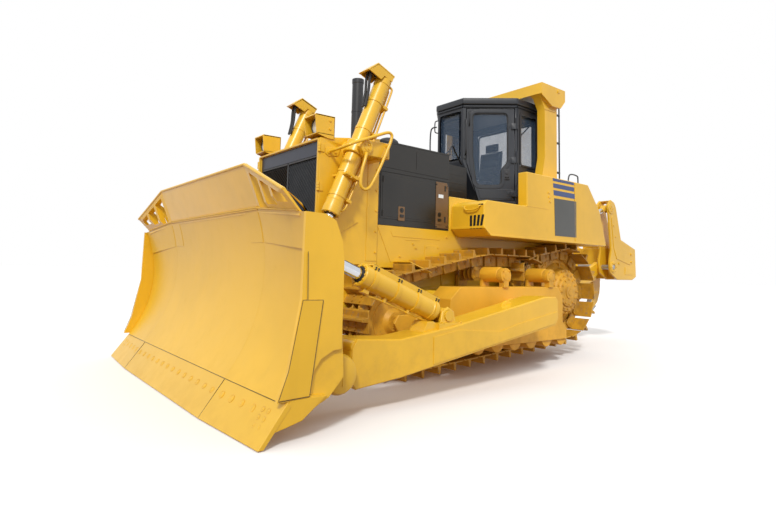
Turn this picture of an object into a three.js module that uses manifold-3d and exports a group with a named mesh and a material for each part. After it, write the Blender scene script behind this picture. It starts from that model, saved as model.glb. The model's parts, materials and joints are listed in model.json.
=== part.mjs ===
// A track-type bulldozer with a semi-U blade and a single-shank ripper.
// Millimetres. +X is forward, +Y is left, +Z is up. Every place below is measured from the
// ground point under the sprocket axle, and the whole group is then moved so that its origin
// lies on the ground under the middle of the machine.
import * as THREE from 'three';
import Module from 'manifold-3d';
import { mergeVertices } from 'three/addons/utils/BufferGeometryUtils.js';

const wasm = await Module();
wasm.setup();

// ---------------------------------------------------------------- driving dimensions

const SEAT_GAP = 0.3; // between two solids that touch
const PIN_CLEARANCE = 0.5; // round a pin in its hole
const ROD_CLEARANCE = 0.8; // round a rod in its barrel
const RUNNING_CLEARANCE = 6; // beside an eye between its lugs
const ROUND = 12; // sides of a pin, a rod and a hole

// Tracks
const TRACK_GAUGE = 2260;
const SHOE_WIDTH = 610;
const WHEELBASE = 3270; // sprocket axle to idler axle
const LINK_PITCH = 260;
const SPROCKET_PITCH_RADIUS = 565;
const IDLER_TREAD_RADIUS = 380;
const RAIL_DEPTH = 75; // pin line to the surface that the rollers run on
const SHOE_SEAT = 72; // pin line to the underside of the shoes
const SHOE_PLATE = 18;
const GROUSER = 80;
const RAIL_INNER = 46; // the two rails, from the middle of the chain
const RAIL_OUTER = 98;
const SPROCKET_WIDTH = 76;
const SPROCKET_TEETH = 26;
const ROLLER_RADIUS = 118;
const ROLLER_COUNT = 7;
const FIRST_ROLLER_X = 650;
const LAST_ROLLER_X = 2680;
const RING_STEP = (15 * Math.PI) / 180;
const CHORD_DIP = 3.8; // the rails' straight steps dip this far inside their true curve
const CARRIER_RADIUS = 95;
const CARRIER_TOP_Z = 1280;
const CARRIER_X = [950, 1900];
const TRACK_FRAME_TOP = 1030;
const TRACK_FRAME_BOTTOM = 490;
const TRACK_FRAME_HALF_WIDTH = 170;
const SIDE_PLATE = 30;
const FRAME_FRONT_X = WHEELBASE - 420;

// Hull and superstructure
const HULL_HALF_WIDTH = 520;
const GROUND_CLEARANCE = 507;
const HULL_REAR_X = -640;
const HULL_FRONT_X = 3950;
const HULL_DECK_Z = 1250;
const BODY_HALF_WIDTH = 700;
const BODY_REAR_X = 240;
const BULKHEAD_X = 2270;
const CAB_FLOOR_Z = 2170;
const SILL_Z = 1720; // bottom of the engine covers
const PANEL = 20;
const HOOD_Z = 2700;
const GUARD_REAR_X = 3450;
const GUARD_FRONT_X = 4270;
const GUARD_FRONT_TOP = 2600;
const GUARD_HALF_WIDTH = 720;
const GRILLE_HALF_WIDTH = 685;
const GRILLE_BOTTOM = 1500;
const GRILLE_TOP = 2570;
const GRILLE_DEPTH = 40;
const GRILLE_RECESS = 60;
const GUARD_BORE_DEPTH = 120; // of the holes in the guard's sides for the lift cylinders' pins

const FENDER_OUTER = 1250;
const FENDER_BOTTOM = 1650;
const FENDER_TOP = 2090;
const FENDER_FRONT_X = 2240;
const FENDER_STEP_X = 1380;
const STEP_INNER = 1100;
const TANK_TOP = 2550;
const PEDESTAL_INNER = 850;
const PEDESTAL_FRONT_X = 800;
const ROPS_OUTER = 1050;
const ROPS_POST_X = [300, 600];
const ROPS_POST_Y = [865, 1000];
const ROPS_TOP = 3985;
const ROPS_BEAM_BOTTOM = 3820;
const ROPS_BEAM_X = [145, 745];
const ROPS_END_BOTTOM = 3680;
const ROPS_KNEE_Z = 3620; // where the beam's ends narrow to the posts
const ROPS_FOOT_Z = 2900; // below this the posts widen to their feet
const ROPS_END = 190; // width of the deep part at each end of the beam

// Cab: half of its hexagonal plan, from the front corner to the rear corner
const CAB_FRONT = [1550, 260];
const CAB_SHOULDER = [980, 780];
const CAB_REAR = [270, 780];
const CAB_ROOF_BOTTOM = 3650;
const CAB_ROOF_TOP = 3750;
const CAB_WALL = 50;
const CAB_NOSE_Z = 2800; // the nose slopes back below this height
const CAB_NOSE_SETBACK = 190;
const DOOR_GAP = 8;
const DOOR_WIDTH = 720;
const DOOR_HINGE_INSET = 30;
const HINGE_Z = [2380, 2870, 3370];
const HINGE_HEIGHT = 85; // of each half
const HINGE_RADIUS = 14;
const HINGE_LINE = [-2, 20]; // along and outside the door face, from the shoulder
const DOOR_BOTTOM = 2235;
const DOOR_TOP = 3590;
const GLASS = 8;

// Blade, its arms and its cylinders; places are [x, z]
const BLADE_TIP_X = 5590;
const BLADE_HALF_WIDTH = 2150;
const BLADE_CENTRE_HALF_WIDTH = 1190;
const MOLDBOARD_BOTTOM = [5380, 290];
const MOLDBOARD_TOP = [5160, 1710];
const MOLDBOARD_HOLLOW = 190; // depth of its curve
const WING_TOP_FORWARD = 50;
const WING_BOTTOM_BACK = 55;
const WING_TOP_DROP = 90;
const CUTTING_EDGE = 45;
const EDGE_LIFT = 5; // from the ground to the cutting edge
const SPILL_GUARD_HEIGHT = 380;
const SPILL_GUARD_LEAN = 160;
const SPILL_WING_SLOPE = 0.375; // fall of the spill guard's top edge along the wings
const CHEEK_INSET = 12; // the end bits reach this much further than the side plates
const ARM_TRACK_GAP = 115; // beside the shoes
const ARM_WIDTH = 300;
const ARM_INNER = (TRACK_GAUGE + SHOE_WIDTH) / 2 + ARM_TRACK_GAP;
const ARM_OUTER = ARM_INNER + ARM_WIDTH;
const ARM_MIDDLE = (ARM_INNER + ARM_OUTER) / 2;
const TRUNNION = [1790, 775];
const TRUNNION_RADIUS = 60;
const BLADE_PIN = [4700, 360];
const BLADE_PIN_RADIUS = 60;

const LIFT_Y = 840;
const LIFT = {
  base: [3884, 2500], eye: [4616, 750], barrel: 100, rod: 45, tail: -943, gland: 790,
  rodLength: 1750, boreStart: -900, eyeRadius: 80, eyeHalfWidth: 55,
};
const TILT = {
  base: [3400, 780], eye: [4889, 1343], barrel: 108, rod: 55, tail: 125, gland: 1090,
  rodLength: 1100, boreStart: 300, eyeRadius: 72, eyeHalfWidth: 55,
};

// Ripper; places are [x, z]
const RIPPER_ARM_PIN = [-850, 950];
const RIPPER_BEAM_PIN = [-2000, 1350];
const RIPPER_TOP_PIN = [-1950, 2400];
const RIPPER_REAR_X = -2845;
const RIPPER_PIN_RADIUS = 45;
const RIPPER_ARM_Y = [300, 380];
const RIPPER_INNER_PLATE = [400, 440];
const RIPPER_OUTER_PLATE = [600, 640];
const RIPPER_LIFT_Y = 130;
const RIPPER_TILT_Y = 520;
const RIPPER_LIFT = {
  base: [-850, 1700], eye: [-1747, 1262], barrel: 75, rod: 40, tail: 90, gland: 800,
  rodLength: 870, boreStart: 110, eyeRadius: 65, eyeHalfWidth: 40,
};
const RIPPER_TILT = {
  base: [-800, 2000], eye: RIPPER_TOP_PIN, barrel: 85, rod: 45, tail: 85, gland: 800,
  rodLength: 820, boreStart: 110, eyeRadius: 68, eyeHalfWidth: 60,
};
const SHANK_X = [-2620, -2360];
const SHANK_HALF_WIDTH = 50;
const SHANK_TIP_Z = 430;
const SHANK_TOP_Z = 2050;

// Worked out from the above
const TRACK_Y = TRACK_GAUGE / 2;
const PIN_LINE_Z = GROUSER + SHOE_PLATE + SHOE_SEAT;
const SPROCKET_Z = PIN_LINE_Z + SPROCKET_PITCH_RADIUS;
const IDLER_Z = PIN_LINE_Z + RAIL_DEPTH + IDLER_TREAD_RADIUS;
const ROLLER_Z = PIN_LINE_Z + RAIL_DEPTH + ROLLER_RADIUS + SEAT_GAP;
const CARRIER_Z = CARRIER_TOP_Z - CARRIER_RADIUS;
const FRAME_INNER = TRACK_Y - TRACK_FRAME_HALF_WIDTH;
const FRAME_OUTER = TRACK_Y + TRACK_FRAME_HALF_WIDTH;

// ---------------------------------------------------------------- materials

const paint = (color, roughness = 0.45, metalness = 0) => () =>
  new THREE.MeshStandardMaterial({ color, roughness, metalness, flatShading: true });
const yellow = paint(0xe5b93c);
const ochre = paint(0xb9722f, 0.6);
const charcoal = paint(0x2e2b28, 0.55);
const slate = paint(0x474d57, 0.5);
const black = paint(0x15161a, 0.5);
const chrome = paint(0xc9ccd0, 0.15, 1);
const tinted = paint(0x5d7787, 0.1);
const seatCloth = paint(0x26282c, 0.9);

// ---------------------------------------------------------------- shaping helpers

function solidOf(geometry) {
  geometry.deleteAttribute('normal');
  geometry.deleteAttribute('uv');
  const merged = mergeVertices(geometry, 1e-3);
  const position = merged.attributes.position.array;
  const index = Array.from(merged.index.array);
  let volume = 0;
  for (let i = 0; i < index.length; i += 3) {
    const [a, b, c] = [0, 1, 2].map((k) => new THREE.Vector3().fromArray(position, 3 * index[i + k]));
    volume += a.dot(b.cross(c));
  }
  if (volume < 0) index.reverse();
  return new wasm.Manifold(new wasm.Mesh({
    numProp: 3, vertProperties: new Float32Array(position), triVerts: new Uint32Array(index),
  }));
}

const join = (...solids) => solids.flat().reduce((a, b) => a.add(b));
const cut = (solid, ...tools) => tools.flat().reduce((a, b) => a.subtract(b), solid);
const both = (make) => [1, -1].map(make);

function box([x0, x1], [y0, y1], [z0, z1]) {
  const geometry = new THREE.BoxGeometry(Math.abs(x1 - x0), Math.abs(y1 - y0), Math.abs(z1 - z0));
  return solidOf(geometry.translate((x0 + x1) / 2, (y0 + y1) / 2, (z0 + z1) / 2));
}

const shapeOf = (points) => new THREE.Shape(points.map(([a, b]) => new THREE.Vector2(a, b)));
const extruded = (points, depth) =>
  new THREE.ExtrudeGeometry(shapeOf(points), { depth, bevelEnabled: false });

// A side profile of [x, z] points, from y0 to y1.
function sideways(points, [y0, y1]) {
  const geometry = extruded(points, Math.abs(y1 - y0)).rotateX(Math.PI / 2);
  return solidOf(geometry.translate(0, Math.max(y0, y1), 0));
}

// A front view of [y, z] points, from x0 to x1.
function frontal(points, [x0, x1]) {
  const turn = new THREE.Matrix4().makeBasis(
    new THREE.Vector3(0, 1, 0), new THREE.Vector3(0, 0, 1), new THREE.Vector3(1, 0, 0));
  return solidOf(extruded(points, x1 - x0).applyMatrix4(turn).translate(x0, 0, 0));
}

// A plan of [x, y] points, from z0 to z1.
function upright(points, [z0, z1]) {
  return solidOf(extruded(points, z1 - z0).translate(0, 0, z0));
}

// A round bar of [x, y, z] ends.
function bar(radius, from, to, sides = ROUND, twist = 0) {
  const a = new THREE.Vector3(...from);
  const b = new THREE.Vector3(...to);
  const along = b.clone().sub(a);
  const geometry = new THREE.CylinderGeometry(radius, radius, along.length(), sides, 1, false, twist);
  const turn = new THREE.Quaternion().setFromUnitVectors(new THREE.Vector3(0, 1, 0), along.normalize());
  geometry.applyQuaternion(turn);
  const middle = a.add(b).multiplyScalar(0.5);
  return solidOf(geometry.translate(middle.x, middle.y, middle.z));
}

// A round bar that lies across the machine at [x, z].
const crossBar = (radius, [x, z], [y0, y1], sides = ROUND) => bar(radius, [x, y0, z], [x, y1, z], sides);

// The hole for a pin: its flats face the pin's corners, and stay clear of them at every angle.
const pinHole = (radius, [x, z], across, turn = 0) => bar(
  (radius + PIN_CLEARANCE) / Math.cos(Math.PI / ROUND),
  [x, Math.min(...across), z], [x, Math.max(...across), z], ROUND, turn + Math.PI / ROUND,
);

// The turn about Y that points a cylinder's own +X from its base pin to its rod's eye.
const slopeOf = (spec) => -Math.atan2(spec.eye[1] - spec.base[1], spec.eye[0] - spec.base[0]);

// A wheel about the Y axis through [x, z]; its profile is [radius, y] points about its own middle.
function turned(profile, [x, z], y, sides = 24) {
  const points = profile.map(([radius, across]) => new THREE.Vector2(radius, across));
  return solidOf(new THREE.LatheGeometry(points, sides).translate(x, y, z));
}

function meshOf(name, solid, material, place = new THREE.Vector3()) {
  const { vertProperties, triVerts } = solid.getMesh();
  const geometry = new THREE.BufferGeometry();
  geometry.setAttribute('position', new THREE.BufferAttribute(new Float32Array(vertProperties), 3));
  geometry.setIndex(new THREE.BufferAttribute(new Uint32Array(triVerts), 1));
  const mesh = new THREE.Mesh(geometry, material());
  mesh.name = name;
  mesh.position.copy(place);
  return mesh;
}

const machine = new THREE.Group();
const add = (name, solid, material) => machine.add(meshOf(name, solid, material));
const sided = (name, side) => `${name}_${side > 0 ? 'left' : 'right'}`;
const acrossY = (side, y0, y1) => [side * y0, side * y1];

// ---------------------------------------------------------------- tracks

// The belt line round the sprocket, the carrier rollers and the idler, at an offset outside the
// pin line. It starts below the sprocket, runs back and up over it, forward along the top and
// down round the idler. `where(s)` gives the point and outward normal at a length s along it.
function beltLine() {
  const wheels = [
    { x: 0, z: SPROCKET_Z, r: SPROCKET_PITCH_RADIUS },
    ...CARRIER_X.map((x) => ({ x, z: CARRIER_Z, r: CARRIER_RADIUS + RAIL_DEPTH })),
    { x: WHEELBASE, z: IDLER_Z, r: IDLER_TREAD_RADIUS + RAIL_DEPTH },
  ];
  const runs = wheels.map((from, i) => {
    const to = wheels[(i + 1) % wheels.length];
    const [dx, dz] = [to.x - from.x, to.z - from.z];
    const span = Math.hypot(dx, dz);
    // outward normal of the outer tangent, for a clockwise walk
    return Math.atan2(dz, dx) + Math.acos((from.r - to.r) / span);
  });
  const pieces = [];
  wheels.forEach((wheel, i) => {
    const start = runs[(i + wheels.length - 1) % wheels.length];
    let sweep = start - runs[i];
    while (sweep < 0) sweep += 2 * Math.PI;
    while (sweep > 2 * Math.PI) sweep -= 2 * Math.PI;
    pieces.push({ wheel, start, sweep, length: sweep * wheel.r });
    const to = wheels[(i + 1) % wheels.length];
    const normal = runs[i];
    const a = [wheel.x + wheel.r * Math.cos(normal), wheel.z + wheel.r * Math.sin(normal)];
    const b = [to.x + to.r * Math.cos(normal), to.z + to.r * Math.sin(normal)];
    pieces.push({ a, b, normal, length: Math.hypot(b[0] - a[0], b[1] - a[1]) });
  });
  const total = pieces.reduce((sum, piece) => sum + piece.length, 0);
  const where = (s, offset) => {
    let rest = ((s % total) + total) % total;
    const piece = pieces.find((candidate) => (rest -= candidate.length) < 0) ?? pieces.at(-1);
    rest += piece.length;
    if (piece.wheel) {
      const angle = piece.start - rest / piece.wheel.r;
      const radius = piece.wheel.r + offset;
      return [piece.wheel.x + radius * Math.cos(angle), piece.wheel.z + radius * Math.sin(angle)];
    }
    const t = rest / piece.length;
    return [0, 1].map((k) => piece.a[k] + t * (piece.b[k] - piece.a[k])
      + offset * (k ? Math.sin(piece.normal) : Math.cos(piece.normal)));
  };
  // A closed line with a point at least every RING_STEP round the wheels, and none between them.
  const ring = (offset) => {
    const points = [];
    let s = 0;
    for (const piece of pieces) {
      const steps = piece.wheel ? Math.ceil(piece.sweep / RING_STEP) : 0;
      for (let i = 0; i <= steps && piece.wheel; i++) {
        points.push(where(s + (Math.min(i / steps, 1 - 1e-9)) * piece.length, offset));
      }
      s += piece.length;
    }
    return points;
  };
  return { total, where, ring };
}

function trackLoop(side) {
  const belt = beltLine();
  const links = Math.round(belt.total / LINK_PITCH);
  const pitch = belt.total / links;
  const shoeLine = [];
  for (let i = 0; i < links; i++) {
    const s = i * pitch;
    for (const [share, height] of [[0.1, SHOE_PLATE], [0.14, SHOE_PLATE + GROUSER],
      [0.2, SHOE_PLATE + GROUSER], [0.26, SHOE_PLATE]]) {
      shoeLine.push(belt.where(s + share * pitch, SHOE_SEAT + height));
    }
  }
  const middle = side * TRACK_Y;
  const shoes = cut(
    sideways(shoeLine, [middle - SHOE_WIDTH / 2, middle + SHOE_WIDTH / 2]),
    sideways(belt.ring(SHOE_SEAT), [middle - SHOE_WIDTH, middle + SHOE_WIDTH]),
  );
  const rails = both((flank) => {
    const across = [middle + flank * RAIL_INNER, middle + flank * RAIL_OUTER];
    const wide = [middle + flank * (RAIL_INNER - 10), middle + flank * (RAIL_OUTER + 10)];
    return cut(
      sideways(belt.ring(SHOE_SEAT + SHOE_PLATE * 0.4), across),
      sideways(belt.ring(-RAIL_DEPTH), wide),
    );
  });
  return join(shoes, ...rails);
}

function sprocket(side) {
  const middle = side * TRACK_Y;
  const teeth = [];
  const toothStep = (2 * Math.PI) / SPROCKET_TEETH;
  for (let i = 0; i < SPROCKET_TEETH; i++) {
    for (const [share, radius] of [[-0.32, -30], [-0.12, 28], [0.12, 28], [0.32, -30]]) {
      const angle = (i + share) * toothStep;
      const r = SPROCKET_PITCH_RADIUS + radius;
      teeth.push([r * Math.cos(angle), SPROCKET_Z + r * Math.sin(angle)]);
    }
  }
  const reach = (y) => middle + side * (y - TRACK_Y);
  return join(
    sideways(teeth, [middle - SPROCKET_WIDTH / 2, middle + SPROCKET_WIDTH / 2]),
    crossBar(290, [0, SPROCKET_Z], [side * (HULL_HALF_WIDTH + SEAT_GAP), reach(1150)], 20),
    crossBar(330, [0, SPROCKET_Z], [reach(1100), reach(1240)], 20),
    crossBar(220, [0, SPROCKET_Z], [reach(1200), reach(1330)], 16),
    crossBar(110, [0, SPROCKET_Z], [reach(1300), reach(1370)]),
  );
}

const YOKE_INNER = 130; // from the middle of the chain to the yoke beside the idler's hub

function idler(side) {
  const tread = IDLER_TREAD_RADIUS - CHORD_DIP;
  const hub = YOKE_INNER - SEAT_GAP;
  return turned(
    [[0, -hub], [110, -hub], [110, -100], [tread, -100], [tread, -44], [tread + 22, -38],
      [tread + 22, 38], [tread, 44], [tread, 100], [110, 100], [110, hub], [0, hub]],
    [WHEELBASE, IDLER_Z], side * TRACK_Y, 20,
  );
}

function trackFrame(side) {
  const across = (a, b) => [side * (TRACK_Y + a), side * (TRACK_Y + b)];
  const half = TRACK_FRAME_HALF_WIDTH;
  const parts = [
    sideways([[650, TRACK_FRAME_BOTTOM], [650, 900], [760, TRACK_FRAME_TOP],
      [FRAME_FRONT_X - 160, TRACK_FRAME_TOP], [FRAME_FRONT_X, 900], [FRAME_FRONT_X, TRACK_FRAME_BOTTOM]],
    across(-half, half)),
  ];
  for (const flank of [-1, 1]) {
    const plate = across(flank * (half - SIDE_PLATE), flank * half);
    parts.push(sideways([[560, 330], [560, 470], [650, 560], [FRAME_FRONT_X, 560],
      [FRAME_FRONT_X, 330]], plate));
    const yoke = across(flank * YOKE_INNER, flank * half);
    parts.push(sideways([[FRAME_FRONT_X - 60, IDLER_Z - 90], [FRAME_FRONT_X - 60, IDLER_Z + 90],
      [WHEELBASE + 80, IDLER_Z + 90], [WHEELBASE + 140, IDLER_Z], [WHEELBASE + 80, IDLER_Z - 90]], yoke));
  }
  for (let i = 0; i < ROLLER_COUNT; i++) {
    const x = FIRST_ROLLER_X + (i * (LAST_ROLLER_X - FIRST_ROLLER_X)) / (ROLLER_COUNT - 1);
    parts.push(crossBar(ROLLER_RADIUS, [x, ROLLER_Z], across(SIDE_PLATE - half - 5, half - SIDE_PLATE + 5)));
  }
  for (const x of CARRIER_X) {
    const top = CARRIER_Z - CHORD_DIP;
    parts.push(crossBar(CARRIER_RADIUS, [x, top], across(-half + 5, RAIL_OUTER + 10)));
    parts.push(box([x - 70, x + 70], across(-half, -half + 36), [TRACK_FRAME_TOP - 20, top + 50]));
  }
  // The pivot that the blade's arm hangs on stands out through the open side of the track.
  const reach = [side * (FRAME_OUTER - 20), side * (ARM_INNER - RUNNING_CLEARANCE)];
  parts.push(crossBar(TRUNNION_RADIUS + 50, TRUNNION, reach));
  parts.push(crossBar(TRUNNION_RADIUS, TRUNNION, [side * (ARM_INNER - 20), side * (ARM_OUTER + 8)]));
  return join(parts);
}

// ---------------------------------------------------------------- hull, engine and guards

const RIPPER_MOUNT_X = -700;
const PIVOT_SHAFT = [850, 720];
const EQUALIZER = [2750, 900];

function lugPair(outline, y, eyeHalfWidth, plate, hole) {
  const lugs = [1, -1].map((flank) => {
    const inner = eyeHalfWidth + RUNNING_CLEARANCE;
    return sideways(outline, [y + flank * inner, y + flank * (inner + plate)]);
  });
  if (!hole) return lugs;
  const bore = pinHole(hole.radius, hole.at, [y - 400, y + 400], hole.turn);
  return lugs.map((lug) => cut(lug, bore));
}

function mainFrame() {
  const hull = sideways([[HULL_REAR_X, 760], [HULL_REAR_X, FENDER_BOTTOM - SEAT_GAP],
    [BODY_REAR_X, FENDER_BOTTOM - SEAT_GAP], [BODY_REAR_X + 100, HULL_DECK_Z], [HULL_FRONT_X, HULL_DECK_Z],
    [HULL_FRONT_X, 900], [HULL_FRONT_X - 450, GROUND_CLEARANCE], [-350, GROUND_CLEARANCE]],
  [-HULL_HALF_WIDTH, HULL_HALF_WIDTH]);
  const body = box([BODY_REAR_X, BULKHEAD_X], [-BODY_HALF_WIDTH, BODY_HALF_WIDTH],
    [HULL_DECK_Z - 20, CAB_FLOOR_Z - SEAT_GAP]);
  const apron = cut(
    box([BULKHEAD_X - 10, GUARD_REAR_X - SEAT_GAP], [-BODY_HALF_WIDTH, BODY_HALF_WIDTH],
      [HULL_DECK_Z - 20, SILL_Z - SEAT_GAP]),
    box([BULKHEAD_X, GUARD_REAR_X + 10], [PANEL - BODY_HALF_WIDTH, BODY_HALF_WIDTH - PANEL],
      [HULL_DECK_Z, SILL_Z + 10]),
  );
  const shafts = [PIVOT_SHAFT, EQUALIZER].map((at) =>
    crossBar(80, at, [SEAT_GAP - FRAME_INNER, FRAME_INNER - SEAT_GAP]));
  const tailPlate = box([RIPPER_MOUNT_X, HULL_REAR_X + 10], [-650, 650], [780, 2120]);
  const tailCut = box([HULL_REAR_X, 0], [-700, 700], [FENDER_BOTTOM - SEAT_GAP, 2200]);
  const pinLug = (at, radius) => [[RIPPER_MOUNT_X + 20, at[1] - 110], [RIPPER_MOUNT_X + 20, at[1] + 110],
    [at[0], at[1] + radius], [at[0] - radius, at[1]], [at[0], at[1] - radius]];
  const lugs = both((side) => [
    ...lugPair(pinLug(RIPPER_ARM_PIN, 85), side * (RIPPER_ARM_Y[0] + RIPPER_ARM_Y[1]) / 2, 40, 36,
      { at: RIPPER_ARM_PIN, radius: RIPPER_PIN_RADIUS }),
    ...lugPair(pinLug(RIPPER_TILT.base, 75), side * RIPPER_TILT_Y, RIPPER_TILT.eyeHalfWidth, 34,
      { at: RIPPER_TILT.base, radius: RIPPER_TILT.rod, turn: slopeOf(RIPPER_TILT) }),
    ...lugPair(pinLug(RIPPER_LIFT.base, 75), side * RIPPER_LIFT_Y, RIPPER_LIFT.eyeHalfWidth, 30,
      { at: RIPPER_LIFT.base, radius: RIPPER_LIFT.rod, turn: slopeOf(RIPPER_LIFT) }),
  ]).flat();
  return join(hull, body, apron, ...shafts, cut(tailPlate, tailCut), ...lugs);
}

const guardTopAt = (x) => HOOD_Z + PANEL
  + ((x - GUARD_REAR_X) / (GUARD_FRONT_X - GUARD_REAR_X)) * (GUARD_FRONT_TOP - HOOD_Z - PANEL);
const LIFT_YOKE_Y = [LIFT_Y + LIFT.barrel + 40, LIFT_Y + LIFT.barrel + 85];

function radiatorGuard() {
  const shell = sideways([[GUARD_REAR_X, HULL_DECK_Z + SEAT_GAP], [GUARD_REAR_X, guardTopAt(GUARD_REAR_X)],
    [GUARD_FRONT_X, GUARD_FRONT_TOP], [GUARD_FRONT_X, HULL_DECK_Z + SEAT_GAP]],
  [-GUARD_HALF_WIDTH, GUARD_HALF_WIDTH]);
  const recess = box([GUARD_FRONT_X - GRILLE_RECESS, GUARD_FRONT_X + 10],
    [-GRILLE_HALF_WIDTH, GRILLE_HALF_WIDTH], [GRILLE_BOTTOM, GRILLE_TOP]);
  const [tx, tz] = LIFT.base;
  const yokes = both((side) => join(
    box([tx - 330, tx - 215], acrossY(side, GUARD_HALF_WIDTH - 20, LIFT_YOKE_Y[1]), [tz - 90, tz + 90]),
    sideways([[tx - 330, tz - 90], [tx - 330, tz + 90], [tx + 30, tz + 90], [tx + 90, tz],
      [tx + 30, tz - 90]], acrossY(side, ...LIFT_YOKE_Y)),
  ));
  const bores = both((side) => pinHole(LIFT.rod, LIFT.base,
    acrossY(side, GUARD_HALF_WIDTH - GUARD_BORE_DEPTH, LIFT_YOKE_Y[1] + 10), slopeOf(LIFT)));
  return cut(join(shell, ...yokes), recess, ...bores);
}

function grille() {
  return box([GUARD_FRONT_X - GRILLE_RECESS + SEAT_GAP, GUARD_FRONT_X - GRILLE_RECESS + GRILLE_DEPTH],
    [SEAT_GAP - GRILLE_HALF_WIDTH, GRILLE_HALF_WIDTH - SEAT_GAP],
    [GRILLE_BOTTOM + SEAT_GAP, GRILLE_TOP - SEAT_GAP]);
}

function engineCover(side) {
  return box([BULKHEAD_X + 5, GUARD_REAR_X - 5],
    acrossY(side, BODY_HALF_WIDTH - PANEL, BODY_HALF_WIDTH), [SILL_Z, HOOD_Z]);
}

function hood() {
  const top = box([BULKHEAD_X + 5, GUARD_REAR_X - SEAT_GAP], [-BODY_HALF_WIDTH, BODY_HALF_WIDTH],
    [HOOD_Z + SEAT_GAP, HOOD_Z + PANEL]);
  const cowl = box([CAB_FRONT[0] + 60, BULKHEAD_X - 5], [-400, 400], [CAB_FLOOR_Z, HOOD_Z - 20]);
  const bridge = box([BULKHEAD_X - 100, BULKHEAD_X + 60], [-400, 400], [HOOD_Z - 60, HOOD_Z + PANEL]);
  return join(top, cowl, bridge);
}

function headlamp(side) {
  const [rear, front, lip] = [4055, 4240, 4350];
  return sideways([[rear, guardTopAt(rear) + SEAT_GAP], [rear, 2865], [lip, 2850], [lip - 15, 2660],
    [front, 2660], [front, guardTopAt(front) + SEAT_GAP]], acrossY(side, 460, 740));
}

// ---------------------------------------------------------------- fenders, tank and roll-over frame

function fender(side) {
  const base = sideways([[BODY_REAR_X + SEAT_GAP, FENDER_BOTTOM], [BODY_REAR_X + SEAT_GAP, FENDER_TOP],
    [FENDER_FRONT_X - 60, FENDER_TOP], [FENDER_FRONT_X, FENDER_TOP - 50],
    [FENDER_FRONT_X, FENDER_BOTTOM + 90], [FENDER_FRONT_X - 110, FENDER_BOTTOM]],
  acrossY(side, BODY_HALF_WIDTH + SEAT_GAP, FENDER_OUTER));
  const step = box([BODY_REAR_X + SEAT_GAP, FENDER_STEP_X], acrossY(side, STEP_INNER, FENDER_OUTER),
    [FENDER_BOTTOM, TANK_TOP]);
  const pedestal = box([BODY_REAR_X + SEAT_GAP, PEDESTAL_FRONT_X],
    acrossY(side, PEDESTAL_INNER, FENDER_OUTER), [FENDER_BOTTOM, TANK_TOP]);
  return join(base, step, pedestal);
}

function fuelTank() {
  return sideways([[BODY_REAR_X, FENDER_BOTTOM], [BODY_REAR_X, TANK_TOP], [-130, TANK_TOP],
    [-460, 2170], [HULL_REAR_X, FENDER_BOTTOM]], [-FENDER_OUTER, FENDER_OUTER]);
}

// A deep beam over the cab; each end narrows down to its post, which widens again at its foot.
function rollOverFrame() {
  const [rear, front] = ROPS_POST_X;
  const [beamRear, beamFront] = ROPS_BEAM_X;
  const section = [[beamRear, ROPS_BEAM_BOTTOM], [beamRear, ROPS_TOP], [beamFront, ROPS_TOP]];
  const beam = sideways([...section, [beamFront + 10, ROPS_BEAM_BOTTOM]], [-ROPS_OUTER, ROPS_OUTER]);
  const ends = both((side) => sideways([...section, [beamFront + 10, ROPS_BEAM_BOTTOM - 10],
    [495, ROPS_END_BOTTOM], [265, ROPS_END_BOTTOM + 10]], acrossY(side, ROPS_OUTER - ROPS_END, ROPS_OUTER)));
  const knees = both((side) => sideways([[rear - 15, ROPS_BEAM_BOTTOM], [front + 130, ROPS_BEAM_BOTTOM],
    [front, ROPS_KNEE_Z], [rear, ROPS_KNEE_Z]], acrossY(side, ...ROPS_POST_Y)));
  const posts = both((side) => sideways([[rear, TANK_TOP + SEAT_GAP], [rear, ROPS_BEAM_BOTTOM],
    [front, ROPS_BEAM_BOTTOM], [front, ROPS_FOOT_Z], [front + 90, TANK_TOP + SEAT_GAP]],
  acrossY(side, ...ROPS_POST_Y)));
  return join(beam, ...ends, ...knees, ...posts);
}

// ---------------------------------------------------------------- cab

const hexPlan = (inset) => {
  const half = [
    [CAB_FRONT[0] - inset, CAB_FRONT[1] - inset * 0.45],
    [CAB_SHOULDER[0] - inset * 0.4, CAB_SHOULDER[1] - inset],
    [CAB_REAR[0] + inset, CAB_REAR[1] - inset],
  ];
  return [...half, ...half.map(([x, y]) => [x, -y]).reverse()];
};

// The side view of the cab, whose nose slopes back below the windscreen.
const cabProfile = (inset, [bottom, top]) => [
  [CAB_REAR[0] + inset, bottom], [CAB_REAR[0] + inset, top], [CAB_FRONT[0] - inset, top],
  [CAB_FRONT[0] - inset, CAB_NOSE_Z], [CAB_FRONT[0] - inset - CAB_NOSE_SETBACK, bottom],
];

const cabBlock = (inset, heights) => upright(hexPlan(inset), heights)
  .intersect(sideways(cabProfile(inset, heights), [-1000, 1000]));

// Moves a shape into the plane of a door. Its x runs forward along the door face from the
// shoulder of the cab, its y runs up, and its z is the distance outside that face.
function ontoDoorFace(geometry, side) {
  const along = new THREE.Vector3(CAB_FRONT[0] - CAB_SHOULDER[0], CAB_FRONT[1] - CAB_SHOULDER[1], 0);
  along.normalize();
  const outward = new THREE.Vector3(-along.y, along.x, 0);
  const turn = new THREE.Matrix4().makeBasis(along, new THREE.Vector3(0, 0, 1), outward);
  geometry.applyMatrix4(turn).translate(CAB_SHOULDER[0], CAB_SHOULDER[1], 0);
  if (side < 0) geometry.scale(1, -1, 1);
  return solidOf(geometry);
}

const onDoorFace = (points, [n0, n1], side) =>
  ontoDoorFace(extruded(points, n1 - n0).translate(0, 0, n0), side);
const doorBlock = ([u0, u1], heights, depths, side) => onDoorFace(
  [[u0, heights[0]], [u1, heights[0]], [u1, heights[1]], [u0, heights[1]]], depths, side);

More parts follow.
